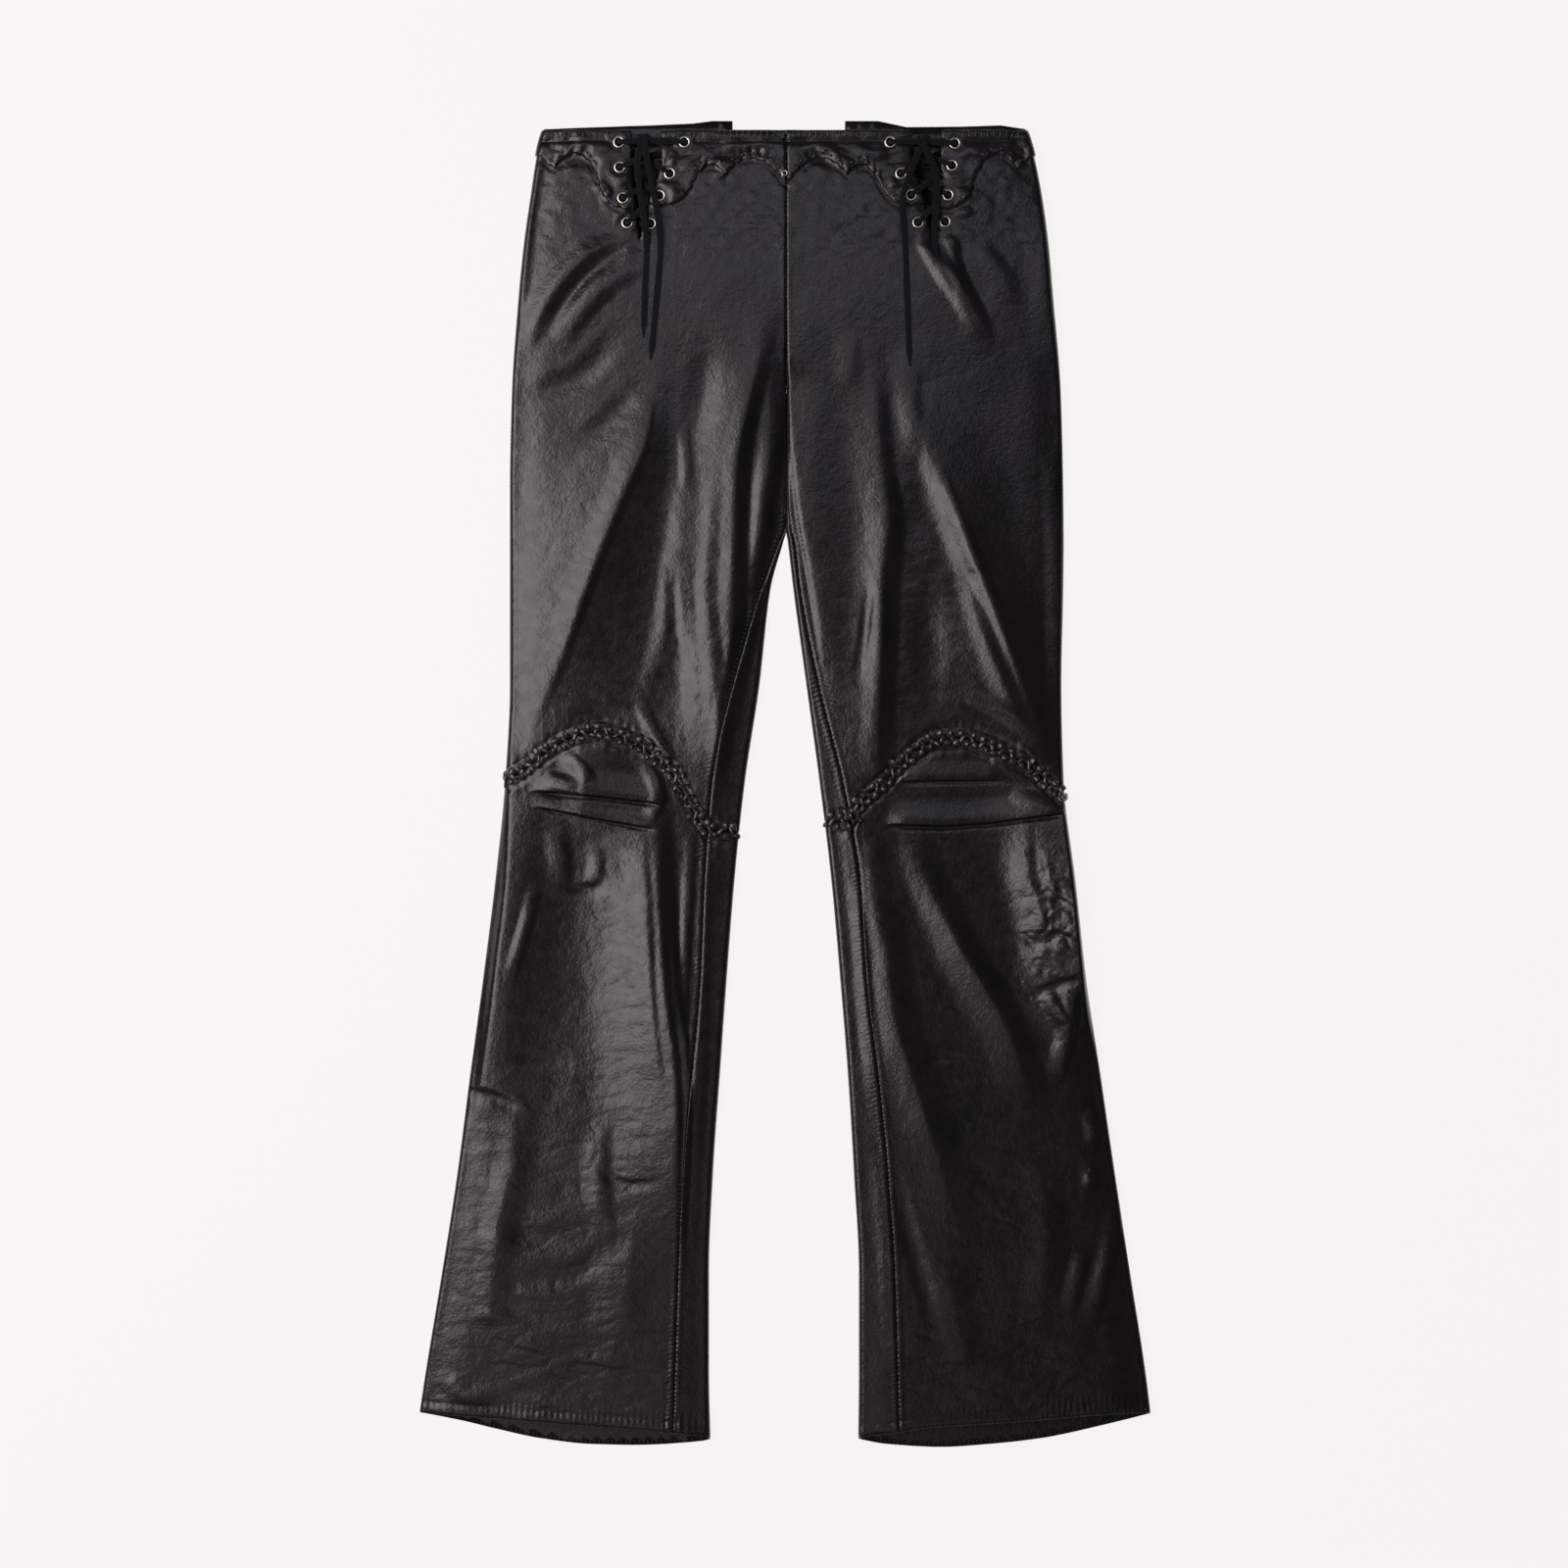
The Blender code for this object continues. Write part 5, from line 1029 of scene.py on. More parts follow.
def band_relief(leg, a, y):
    """The waistband's turned edge, its thong-drawn puckers and the dip beside the V slit."""
    x = leg.side * a
    seed = BAND_SEEDS[leg.name]
    below_top = FRONT_TOP - y
    height = BINDING_RISE * (1 - smooth_step(below_top, BINDING - 1.5, BINDING + 0.5))
    height = height + raised(BINDING_GROOVE, below_top)
    above = y - band_edge(leg, a)
    drawn = np.sin(2 * math.pi * (a + 0.3 * above) / THONG_PITCH + 3.5 * cloudy(x, y, (17, 14), seed))
    drawn = drawn * patchy(x, y, 0.45, 0.9, (13, 9), seed + 5)
    height = height + drawn * raised(THONG_PUCKERS, above) + raised(BAND_FOOT, above)
    height = height + 0.45 * cloudy(x, y, (9, 5), seed + 6) * smooth_step(above, 0, 5)
    height = height + 0.5 * cloudy(x, y, (22, 9), seed + 1) * smooth_step(above, 2, 10)
    slit = np.minimum(edge_distance(leg, a, y, V_OUTER_EDGE), edge_distance(leg, a, y, V_INNER_EDGE))
    height = height + raised(SLIT_DIP, slit) + 0.25 * cloudy(x, y, (7, 5), seed + 2)
    height = height + sum(crease_height(c, x, y) for c in BAND_CREASES if c.leg == leg.name)
    return height * smooth_step(y, V_BOTTOM[1] - 26, V_BOTTOM[1] + 4)


def eyelet_calm(leg, a, y):
    """0 under the eyelets' flanges and washers, and 1 a little way out."""
    share = np.ones(np.shape(a))
    for eyelet in EYELETS:
        if eyelet.leg == leg.name:
            share = share * smooth_step(np.hypot(a - eyelet.out, y - eyelet.y), *EYELET_CALM)
    return share


def calm(a, y):
    """0 round the eyelets, where the bands hold the leather flat."""
    return 1 - smooth_step(y, *CALM) * (1 - smooth_step(a, *CALM_COLUMN))


def loft(leg, a, y, fine=False):
    """Height of the top face above the table, before it rolls over at the folds."""
    a, y = np.asarray(a, float), np.asarray(y, float)
    height = LEG_LOFT + (HIP_LOFT - LEG_LOFT) * smooth_step(y, *LOFT_BLEND)
    outside = np.clip(leg.outer(y) - FOLD_RADIUS - a, 0, None)
    inside = np.clip(a - leg.inner(y) - FOLD_RADIUS, 0, None)
    height = height - EDGE_DROP * (hump(outside, EDGE_REACH) + leg_share(y) * hump(inside, EDGE_REACH))
    flat_a, flat_y = a.ravel(), y.ravel()
    creased = sum(crease_height(c, leg.side * flat_a, flat_y) for c in CREASES if c.leg == leg.name)
    creased = creased + sum(tuck_height(t, flat_a, flat_y) for t in TUCKS if t.leg == leg.name)
    if fine:
        creased = creased + fine_relief(leg, flat_a, flat_y)
    creased = creased * calm(flat_a, flat_y)
    if fine:
        high = flat_y > V_BOTTOM[1] - 30
        small = band_relief(leg, flat_a[high], flat_y[high]) * eyelet_calm(leg, flat_a[high], flat_y[high])
        creased[high] += small
    return height + creased.reshape(a.shape)


def turns(leg, a, y):
    """How far the leather has turned round the outer fold and round the inner one, in radians."""
    outer = (a - leg.outer(y)) / FOLD_RADIUS + 1
    inner = (leg.inner(y) - a) / FOLD_RADIUS + 1
    return np.clip(outer, 0, math.pi / 2), np.clip(inner, 0, math.pi / 2)


def place_across(leg, a, y):
    """How far to the viewer's right a chart place lies, once it has turned round the folds."""
    outer_turn, inner_turn = turns(leg, a, y)
    out = np.where(outer_turn > 0, leg.outer(y) - FOLD_RADIUS * (1 - np.sin(outer_turn)), a)
    rolled_in = leg.inner(y) + FOLD_RADIUS * (1 - np.sin(inner_turn))
    out = np.where(inner_turn > 0, a + leg_share(y) * (rolled_in - a), out)
    return leg.side * out


def front_face(leg, a, y, fine=False):
    """Outer face of the top layer."""
    outer_turn, inner_turn = turns(leg, a, y)
    height = loft(leg, a, y, fine)
    drop = (1 - np.cos(outer_turn)) + leg_share(y) * (1 - np.cos(inner_turn))
    return np.stack([place_across(leg, a, y), y, height - (height - FOLD_RADIUS) * drop], axis=-1)


def back_face(leg, w, y, fine=False):
    """Outer face of the back: under the garment, then round the inner fold and up on to the top."""
    edge = inner_edge(leg, y)
    outer_turn, inner_turn = turns(leg, w, y)
    rise = FOLD_RADIUS * ((1 - np.cos(outer_turn)) + leg_share(y) * (1 - np.cos(inner_turn)))
    if fine:
        x = leg.side * w
        soft = patchy(x, y, -0.25, 1.0, (26, 90), 90) + 0.4 * drawn_lines(x, y, (40, 14), 95)
        clear = smooth_step(w - edge, *UNDER_CLEAR) * smooth_step(outer_edge(leg, y) - w, *UNDER_CLEAR)
        rise = rise + UNDER_TROUGH * soft * clear
    under = np.stack([place_across(leg, w, y), y, rise], axis=-1)
    return np.where((w >= edge)[..., None], under, front_face(leg, 2 * edge - w, y, fine))


def lifted(face, leg, a, y, lift, facing, fine=False):
    """The face moved out by lift along its own normal."""
    a, y = np.asarray(a, float), np.asarray(y, float)
    nudge = 0.05
    across = face(leg, a + nudge, y, fine) - face(leg, a - nudge, y, fine)
    along = face(leg, a, y + nudge, fine) - face(leg, a, y - nudge, fine)
    normal = np.cross(across, along)
    normal /= np.linalg.norm(normal, axis=-1, keepdims=True)
    return face(leg, a, y, fine) + lift * facing * leg.side * normal


def front_at(leg, a, y, lift):
    """A place over the top layer, with all its relief."""
    return lifted(front_face, leg, a, y, lift, 1, True)


def back_at(leg, w, y, lift):
    """A place outside the back, with all its relief."""
    return lifted(back_face, leg, w, y, lift, -1, True)


# ---------------------------------------------------------------- meshes


def finish_piece(name, points, faces, finishes, stands_for, face_finish=None):
    """A piece from points in millimetres: faces out, shaded smooth, with its finish and body, and the CAD
    parts that it stands for hidden.
    """
    mesh = bpy.data.meshes.new(name)
    mesh.from_pydata((np.asarray(points) * MM).tolist(), [], faces)
    shell = bmesh.new()
    shell.from_mesh(mesh)
    bmesh.ops.recalc_face_normals(shell, faces=shell.faces)
    shell.to_mesh(mesh)
    shell.free()
    for finish in finishes:
        mesh.materials.append(FINISHES[finish])
    if face_finish is not None:
        mesh.polygons.foreach_set("material_index", face_finish)
    mesh.polygons.foreach_set("use_smooth", [True] * len(mesh.polygons))
    made = bpy.data.objects.new(name, mesh)
    bpy.context.scene.collection.objects.link(made)
    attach(made, "root")
    if stands_for:
        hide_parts(*stands_for)
    return made


def within(loop, points):
    """Which points lie inside a closed loop."""
    loop = np.asarray(loop)
    inside = np.zeros(len(points), bool)
    for (x0, y0), (x1, y1) in zip(loop, np.roll(loop, -1, axis=0)):
        spans = (y0 > points[:, 1]) != (y1 > points[:, 1])
        reach = x0 + (points[:, 1] - y0) * (x1 - x0) / (y1 - y0 if y1 != y0 else 1)
        inside ^= spans & (points[:, 0] < reach)
    return inside


def refined(line, longest, closed=False):
    """The line again with no stretch longer than that."""
    line = [tuple(p) for p in line]
    points = []
    for start, end in zip(line, line[1:] + line[:1] if closed else line[1:]):
        pieces = max(1, math.ceil(math.dist(start, end) / longest))
        for i in range(pieces):
            points.append(tuple(s + (e - s) * i / pieces for s, e in zip(start, end)))
    return points if closed else points + [line[-1]]


def near_rim(rim, points):
    """How far each point is from the nearest of the rim's points."""
    tree = KDTree(len(rim))
    for i, (a, y) in enumerate(rim):
        tree.insert((a, y, 0), i)
    tree.balance()
    return np.array([tree.find((a, y, 0))[2] for a, y in points])


def chart_triangles(loops, fill, clear):
    """Triangles over the chart inside the first loop and outside the others."""
    rim = [tuple(map(float, p)) for loop in loops for p in loop]
    edges, first = [], 0
    for loop in loops:
        edges += [(first + i, first + (i + 1) % len(loop)) for i in range(len(loop))]
        first += len(loop)
    fill = fill[in_outline(loops, fill)]
    fill = fill[near_rim(rim, fill) > clear]
    made = delaunay_2d_cdt(rim + [tuple(p) for p in fill.tolist()], edges, [], 0, 1e-3, False)
    places = np.array([tuple(p) for p in made[0]])
    triangles = np.array(made[2])
    keep = in_outline(loops, places[triangles].mean(axis=1))
    used, triangles = np.unique(triangles[keep], return_inverse=True)
    return places[used], triangles.reshape(-1, 3)


def normals(points, triangles, facing):
    """The way out of a face at each of its points."""
    corners = points[triangles]
    face = np.cross(corners[:, 1] - corners[:, 0], corners[:, 2] - corners[:, 0])
    total = np.zeros_like(points)
    for k in range(3):
        np.add.at(total, triangles[:, k], face)
    return facing * total / np.maximum(np.linalg.norm(total, axis=1, keepdims=True), 1e-12)


def in_outline(loops, points):
    """Which points lie inside the first loop and outside the holes, the other loops."""
    inside = within(loops[0], points)
    for hole in loops[1:]:
        inside &= ~within(hole, points)
    return inside


def boundary(triangles):
    """Each edge that only one triangle uses, in that triangle's direction."""
    directed = {(int(t[i]), int(t[(i + 1) % 3])) for t in triangles for i in range(3)}
    return [(s, e) for s, e in directed if (e, s) not in directed]


def add_shell(kind, leg, layer, lifts, loops, fills, clears, hem=None):
    """A closed wall between two lifts of a face: fine outside and coarser inside.

    Its inner face has the flesh side's finish, except where the hem function says that it is turned up.
    """
    face, facing = layer
    turn = facing * leg.side
    rim = [p for loop in loops for p in loop]
    chart, triangles = chart_triangles(loops, fills[0], clears[0])
    under, under_triangles = chart_triangles(loops, fills[1], clears[1])
    outer = face(leg, chart[:, 0], chart[:, 1], True)
    soft = EDGE_SOFT * np.clip(1 - near_rim(rim, chart) / EDGE_SOFT_REACH, 0, 1) ** 2
    outer = outer + normals(outer, triangles, turn) * (lifts[0] - soft)[:, None]
    inner = face(leg, under[:, 0], under[:, 1])
    inward = normals(inner, under_triangles, turn)
    at_rim = near_rim(rim, under) < 0.01
    inner[at_rim] = face(leg, under[at_rim, 0], under[at_rim, 1], True)
    inner = inner + inward * lifts[1]
    count = len(chart)
    key, under_key = ([(round(a, 2), round(y, 2)) for a, y in places.tolist()] for places in (chart, under))
    below = {place: i + count for i, place in enumerate(under_key)}
    faces = triangles.tolist() + (under_triangles[:, ::-1] + count).tolist()
    middle = under[under_triangles].mean(axis=1)
    turned = np.zeros(len(middle), bool) if hem is None else hem(middle[:, 0], middle[:, 1])
    finish = [0] * len(triangles) + np.where(turned, 0, 1).tolist()
    for start, end in boundary(triangles):
        faces.append((end, start, below[key[start]], below[key[end]]))
        finish.append(0)
    piece = finish_piece(
        f"{kind}_panel_{leg.name}", np.concatenate([outer, inner]), faces, ("leather", "flesh"),
        [f"{kind}_{leg.name}"], finish,
    )
    corners = chart[triangles]
    sides = corners[:, 1] - corners[:, 0], corners[:, 2] - corners[:, 0]
    area = float(np.abs(sides[0][:, 0] * sides[1][:, 1] - sides[0][:, 1] * sides[1][:, 0]).sum()) / 2
    size = np.ptp(chart, axis=0)
    flat = (float(size[0]) * MM, float(size[1]) * MM)
    return piece, flat, min(area * MM * MM, flat[0] * flat[1])


def lattice(leg, inner, outer, low, high, step):
    """Staggered rows of points between two edges of the chart."""
    rows = ROW_SHARE * step
    levels = np.arange(low + rows / 2, high, rows)
    width = float(np.mean([outer(leg, y) - inner(leg, y) for y in (low, (low + high) / 2, high)]))
    columns = max(2, round(width / step))
    points = []
    for i, y in enumerate(levels):
        start, end = float(inner(leg, y)), float(outer(leg, y))
        share = (np.arange(columns) + (0.5 if i % 2 else 0.0)) / columns
        points.append(np.stack([start + (end - start) * share, np.full(columns, y)], axis=1))
    return np.concatenate(points)


def graded_lattice(leg, low, high):
    """Rows over the back that are close together round both rolled edges and wider apart between them."""
    points = []
    for i, y in enumerate(np.arange(low, high, STRIP_ROWS)):
        start, fold, end = (float(edge(leg, y)) for edge in (back_inner, inner_edge, outer_edge))
        near = np.arange(start, max(start, fold + ROLLED), STRIP_STEP)
        middle = np.arange(max(start, fold + ROLLED), end - ROLLED, UNDER_STEP)
        far = np.arange(end - ROLLED, end, STRIP_STEP * 0.8)
        row = np.concatenate([near, middle, far]) + (STRIP_STEP / 2 if i % 2 else 0)
        points.append(np.stack([row, np.full(len(row), y)], axis=1))
    return np.concatenate(points)


def closer_beside(leg, seam, points, low, high):
    """The lattice again with closer rows of points beside a seam, between two heights."""
    away = points[:, 0] - seam(leg, points[:, 1])
    kept = points[(away > CLOSE_REACH) | (points[:, 1] < low) | (points[:, 1] > high)]
    steps = np.arange(0.5, CLOSE_REACH / CLOSE_STEP) * CLOSE_STEP
    rows = []
    for i, y in enumerate(np.arange(low, high, CLOSE_STEP)):
        start = float(seam(leg, y)) + (CLOSE_STEP / 2 if i % 2 else 0)
        rows.append(np.stack([start + steps, np.full(len(steps), y)], axis=1))
    return np.concatenate([kept, *rows])


def closer_at_tucks(leg, points, step):
    """The lattice again with rows of points that follow each tuck's edge."""
    for tuck in TUCKS:
        if tuck.leg != leg.name:
            continue
        outs, heights = zip(*tuck.line)
        low, high = outs[0] - 9, min(outs[-1] + 9, float(leg.outer(heights[-1])) - 2)
        away = points[:, 1] - np.interp(points[:, 0], outs, heights)
        points = points[(points[:, 0] < low) | (points[:, 0] > high) | (np.abs(away - 0.3) > 3.4)]
        for i, offset in enumerate(TUCK_ROWS):
            along = np.arange(low + (step / 2 if i % 2 else 0), high, step)
            row = np.stack([along, np.interp(along, outs, heights) + offset], axis=1)
            points = np.concatenate([points, row])
    return points


# ---------------------------------------------------------------- outlines on the chart


def curve_through(start, middle, end, pieces=16):
    """Points of a simple curve from start to end that passes through the middle, without its end."""
    start, middle, end = (np.array(p) for p in (start, middle, end))
    pull = 2 * middle - (start + end) / 2
    steps = np.linspace(0, 1, pieces, endpoint=False)
    return [tuple((1 - t) ** 2 * start + 2 * t * (1 - t) * pull + t * t * end) for t in steps]


def scalloped(edge, shift):
    """A scalloped edge from its first corner to its last, moved out by shift."""
    points = []
    for here, after in zip(edge, edge[1:]):
        points += curve_through(here.corner, here.middle, after.corner)
    return [(out + shift, y) for out, y in points + [edge[-1].corner]]


def wavy(points, seed):
    """A cut edge that the thongs pull in a little at every stitch."""
    line = np.array(refined(points, 1.2))
    run = run_along(line)
    uneven = cloudy(run, run * 0, (17.0, 50.0), seed)
    wave = 0.5 * np.sin(2 * math.pi * run / THONG_PITCH + 2.5 * uneven) * smooth_step(run, 0, 6)
    wave = wave * (1 - smooth_step(run, run[-1] - 6, run[-1]))
    return [tuple(p) for p in offset_line(line, wave[:, None])]


def seam_meets(leg, line, edge):
    """Where a line across the leg, given as a height for each place, meets an edge down it."""
    y = 0.0
    for _ in range(12):
        y = float(line(edge(leg, y)))
    return float(edge(leg, y)), y


def up_edge(leg, edge, low, high, inset=0.0, step=RIM_STEP):
    """Points up an edge of the chart."""
    levels = np.linspace(low, high, max(2, math.ceil((high - low) / step)))
    return [(float(edge(leg, y)) - inset, float(y)) for y in levels]


def line_across(line, start, end, inset=0.0):
    """Points of a line across the leg, from one chart place to another."""
    places = np.linspace(start, end, max(2, math.ceil(abs(end - start) / RIM_STEP) + 1))
    return [(float(out), float(line(out)) + inset) for out in places]


def circle(centre, radius, sides):
    """The outline of a punched hole."""
    turns_to = [2 * math.pi * i / sides for i in range(sides)]
    return [(centre[0] + radius * math.cos(t), centre[1] + radius * math.sin(t)) for t in turns_to]


def eyelet_holes(leg, edges, banded_only):
    """The holes along some edges of the V, all of them or only those that go through a band."""
    return [
        circle((e.out, e.y), LEATHER_HOLE_R, HOLE_SIDES)
        for e in EYELETS
        if e.leg == leg.name and e.edge in edges and (e.banded or not banded_only)
    ]


def line_ends(leg, line, inner):
    """Where a line across the leg meets the outer edge, and where it meets an inner one."""
    return (*seam_meets(leg, line, outer_edge), *seam_meets(leg, line, inner))


def v_edge_above(edge, height, shift):
    """The part of a V edge above a height, from the top down."""
    at_height = float(v_edge_out(edge, height))
    return [(out + shift, y) for out, y in edge if y > height] + [(at_height + shift, height)]


def back_line(leg, line):
    """A line round the back: as given over the inner fold's strip, and straight under the leg."""
    fold_place, fold_y = seam_meets(leg, line, inner_edge)
    out_place, out_y = seam_meets(leg, line, outer_edge)

    def height(w):
        under = fold_y + (out_y - fold_y) * smooth_step(w, fold_place, out_place)
        return np.where(w < fold_place, line(2 * fold_place - w), under)

    return height


# ---------------------------------------------------------------- panels


UPPER, LOWER = (front_face, 1), (back_face, -1)   # a layer's face, and the way that it faces
ON_FORM, SEWN_ON = (0, -LEATHER), (SEAM_GAP + LEATHER, SEAM_GAP)   # where a wall's two faces lie


def add_front_thigh(leg):
    """From the waist to the knee seam, with the V slit cut into it."""
    shift = centre_shift(leg)
    out_end, out_y, in_end, in_y = line_ends(leg, leg.knee, front_inner)
    outline = up_edge(leg, front_inner, in_y + JOIN, FRONT_TOP, 0, INSEAM_RIM_STEP)
    outline += [(out + shift, y) for out, y in (*V_INNER_EDGE, V_BOTTOM, *reversed(V_OUTER_EDGE))]
    outline += up_edge(leg, outer_edge, out_y + JOIN, FRONT_TOP, JOIN)[::-1]
    outline += line_across(leg.knee, out_end - JOIN, in_end, JOIN)[1:-1]
    loops = [refined(outline, RIM_STEP, True)] + eyelet_holes(leg, ("outer", "inner"), False)
    fine, coarse = (
        lattice(leg, front_inner, outer_edge, in_y - PAST_SEAM, FRONT_TOP, step)
        for step in (FINE, UNDER_STEP)
    )
    fine = closer_beside(leg, front_inner, fine, in_y, FRONT_CLOSE_TOP)
    return add_shell(
        "front_thigh", leg, UPPER, ON_FORM, loops, (fine, coarse), (FINE_CLEAR, 0.5 * UNDER_STEP)
    )


def below_knee(leg, knee, hem, inner):
    """Outline of a panel from the knee seam to the hem, and how high its inner edge starts and ends."""
    out_end, out_y, in_end, in_y = line_ends(leg, knee, inner)
    hem_out, hem_out_y, hem_in, hem_in_y = line_ends(leg, hem, inner)
    outline = up_edge(leg, inner, hem_in_y, in_y - JOIN, 0, INSEAM_RIM_STEP)
    outline += line_across(knee, in_end, out_end - JOIN, -JOIN)[1:-1]
    outline += up_edge(leg, outer_edge, hem_out_y, out_y - JOIN, JOIN)[::-1]
    outline += line_across(hem, hem_out - JOIN, hem_in)[1:-1]
    return [refined(outline, RIM_STEP, True)], hem_in_y, in_y


def add_front_shin(leg):
    """From the knee seam to the hem, with closer rows of points along its tucks."""
    loops, low, high = below_knee(leg, leg.knee, leg.front_hem, front_inner)
    fine, coarse = (
        closer_at_tucks(leg, lattice(leg, front_inner, outer_edge, low, OVER_KNEE, step), row_step)
        for step, row_step in ((FINE, 1.2), (UNDER_STEP, 3.0))
    )
    fine = closer_beside(leg, front_inner, fine, low, high)
    return add_shell(
        "front_shin", leg, UPPER, ON_FORM, loops, (fine, coarse), (FINE_CLEAR, 1.0),
        lambda a, y: y < leg.front_hem(a) + HEM_TURNING,
    )


def add_back_thigh(leg):
    """From the back waistband to the knee seam, round the inner fold on to the top."""
    line = back_line(leg, leg.knee)
    out_end, out_y, in_end, in_y = line_ends(leg, line, back_inner)
    top = BACK_BAND_SEAM - JOIN
    outline = up_edge(leg, back_inner, in_y + JOIN, top, 0, INSEAM_RIM_STEP)
    outline += up_edge(leg, outer_edge, out_y + JOIN, top, JOIN)[::-1]
    outline += line_across(line, out_end - JOIN, in_end, JOIN)[1:-1]
    fill = graded_lattice(leg, in_y - PAST_SEAM, top)
    fine = closer_beside(leg, back_inner, fill, in_y, BACK_CLOSE_TOP)
    return add_shell(
        "back_thigh", leg, LOWER, ON_FORM, [refined(outline, RIM_STEP, True)], (fine, fill[::2]),
        (FINE_CLEAR, STRIP_STEP),
    )


def add_back_calf(leg):
    """From the knee seam to the hem, round the inner fold on to the top."""
    fold_place = seam_meets(leg, leg.back_hem, inner_edge)[0]

    def hem(w):
        return np.where(w < fold_place, leg.front_hem(2 * fold_place - w), leg.back_hem(w))

    loops, low, high = below_knee(leg, back_line(leg, leg.knee), hem, back_inner)
    fill = graded_lattice(leg, low - PAST_HEM, OVER_BACK_KNEE)
    fine = closer_beside(leg, back_inner, fill, low, high)
    return add_shell(
        "back_calf", leg, LOWER, ON_FORM, loops, (fine, fill[::2]), (FINE_CLEAR, STRIP_STEP),
        lambda a, y: y < leg.back_hem(a) + HEM_TURNING,
    )


def add_back_waistband(leg):
    """The back band, with its step down at the centre back."""
    low = BACK_BAND_SEAM + JOIN
    top = BACK_BAND_TOP[leg.name]
    start = back_shift(leg) + JOIN
    outline = [(start, low), (start, BACK_NOTCH_HEIGHT), (top[0][0], BACK_NOTCH_HEIGHT), *top[:-1]]
    outline += up_edge(leg, outer_edge, low, top[-1][1], JOIN)[::-1]
    fills = [lattice(leg, front_inner, outer_edge, low, OVER_BACK_BAND, step) for step in (2.4, UNDER_STEP)]
    return add_shell(
        "back_waistband", leg, LOWER, ON_FORM, [refined(outline, RIM_STEP, True)], fills, (1.4, 2.5),
        lambda a, y: y > 0,
    )


def add_band(kind, leg, edge, outline):
    """A scalloped band that is sewn on top of the front."""
    loops = [refined(outline, RIM_STEP * 0.7, True)] + eyelet_holes(leg, (edge,), True)
    fills = [
        lattice(leg, front_inner, outer_edge, UNDER_BANDS, FRONT_TOP, step) for step in (BAND_STEP, 4.0)
    ]
    return add_shell(kind, leg, UPPER, SEWN_ON, loops, fills, (0.6 * BAND_STEP, 2.0))


def add_front_waistband(leg):
    """From the centre front to the V slit."""
    shift = centre_shift(leg)
    outline = v_edge_above(V_INNER_EDGE, FRONT_BAND_EDGE[-1].corner[1], shift)
    outline += wavy(scalloped(FRONT_BAND_EDGE, shift), 5)[:-1][::-1]
    outline.append((JOIN + shift, FRONT_TOP))
    return add_band("front_waistband", leg, "inner", outline)


def add_side_waistband(leg):
    """From the V slit to the side fold."""
    shift = centre_shift(leg)
    outline = v_edge_above(V_OUTER_EDGE, SIDE_BAND_EDGE[0].corner[1], shift)[:-1]
    outline += wavy(scalloped(SIDE_BAND_EDGE, shift), 6)
    outline += up_edge(leg, outer_edge, SIDE_BAND_EDGE[-1].corner[1] + 1, FRONT_TOP, JOIN)
    return add_band("side_waistband", leg, "outer", outline)


# ---------------------------------------------------------------- laces


def rounded(share):
    """A sine or cosine pushed outwards, which turns a circle into a rounded bar."""
    return math.copysign(abs(share) ** SECTION_POWER, share)


def lace_section(wide, thick):
    """A flat lace's section, as (across, up) places round a rounded bar."""
    angles = [2 * math.pi * i / SECTION_SIDES for i in range(SECTION_SIDES)]
    return [(wide / 2 * rounded(math.cos(t)), thick / 2 * rounded(math.sin(t))) for t in angles]


def rings_joined(rings, count, closed=False):
    """Faces between each ring of points and the next, and back to the first where it is closed."""
    faces = []
    for i in range(rings if closed else rings - 1):
        here, after = i * count, (i + 1) % rings * count
        for j in range(count):
            k = (j + 1) % count
            faces.append((here + j, here + k, after + k, after + j))
    return faces


def end_caps(total, count):
    """The two faces that close a bar's ends."""
    return [tuple(range(count))[::-1], tuple(range(total - count, total))]


def swept(route, wides, thicks, ups=None):
    """Points and faces of a flat bar along a route, its width kept level across the way it goes."""
    route = np.asarray(route, float)
    ahead = np.gradient(route, axis=0)
    ahead /= np.linalg.norm(ahead, axis=1, keepdims=True)
    level = np.hypot(ahead[:, 0], ahead[:, 1])
    heading = np.unwrap(np.arctan2(ahead[:, 1], ahead[:, 0])[level > 0.5])
    heading = np.interp(np.arange(len(route)), np.flatnonzero(level > 0.5), heading)
    across = np.stack([np.sin(heading), -np.cos(heading), np.zeros(len(route))], axis=1)
    across -= ahead * (across * ahead).sum(axis=1, keepdims=True)
    across /= np.linalg.norm(across, axis=1, keepdims=True)
    up = np.cross(across, ahead)
    if ups is not None:
        up = ups - ahead * (ups * ahead).sum(axis=1, keepdims=True)
        up /= np.linalg.norm(up, axis=1, keepdims=True)
        across = np.cross(ahead, up)
    points = []
    for i, place in enumerate(route):
        points += [place + s * across[i] + u * up[i] for s, u in lace_section(wides[i], thicks[i])]
    return points, rings_joined(len(route), SECTION_SIDES) + end_caps(len(points), SECTION_SIDES)


def way_to_crossing(start, end, other_start, other_end):
    """How far along one straight way another crosses it in plan."""
    way, other = end - start, other_end - other_start
    between = other_start - start
    return (between[0] * other[1] - between[1] * other[0]) / (way[0] * other[1] - way[1] * other[0])


def edge_crossing(leg, start, end, edge):
    """How far along the way from one eyelet to another the lace passes a V edge."""
    steps = np.linspace(0, 1, 400)
    out, y = (start[k] + (end[k] - start[k]) * steps for k in (0, 1))
    return float(steps[np.argmin(edge_distance(leg, out, y, edge))])


def nearer_edge(leg, place):
    """Which edge of the V a place in its gap is nearer to."""
    outer, inner = (v_edge_out(edge, place[1]) for edge in (V_OUTER_EDGE, V_INNER_EDGE))
    return "outer" if 2 * (place[0] - centre_shift(leg)) > outer + inner else "inner"


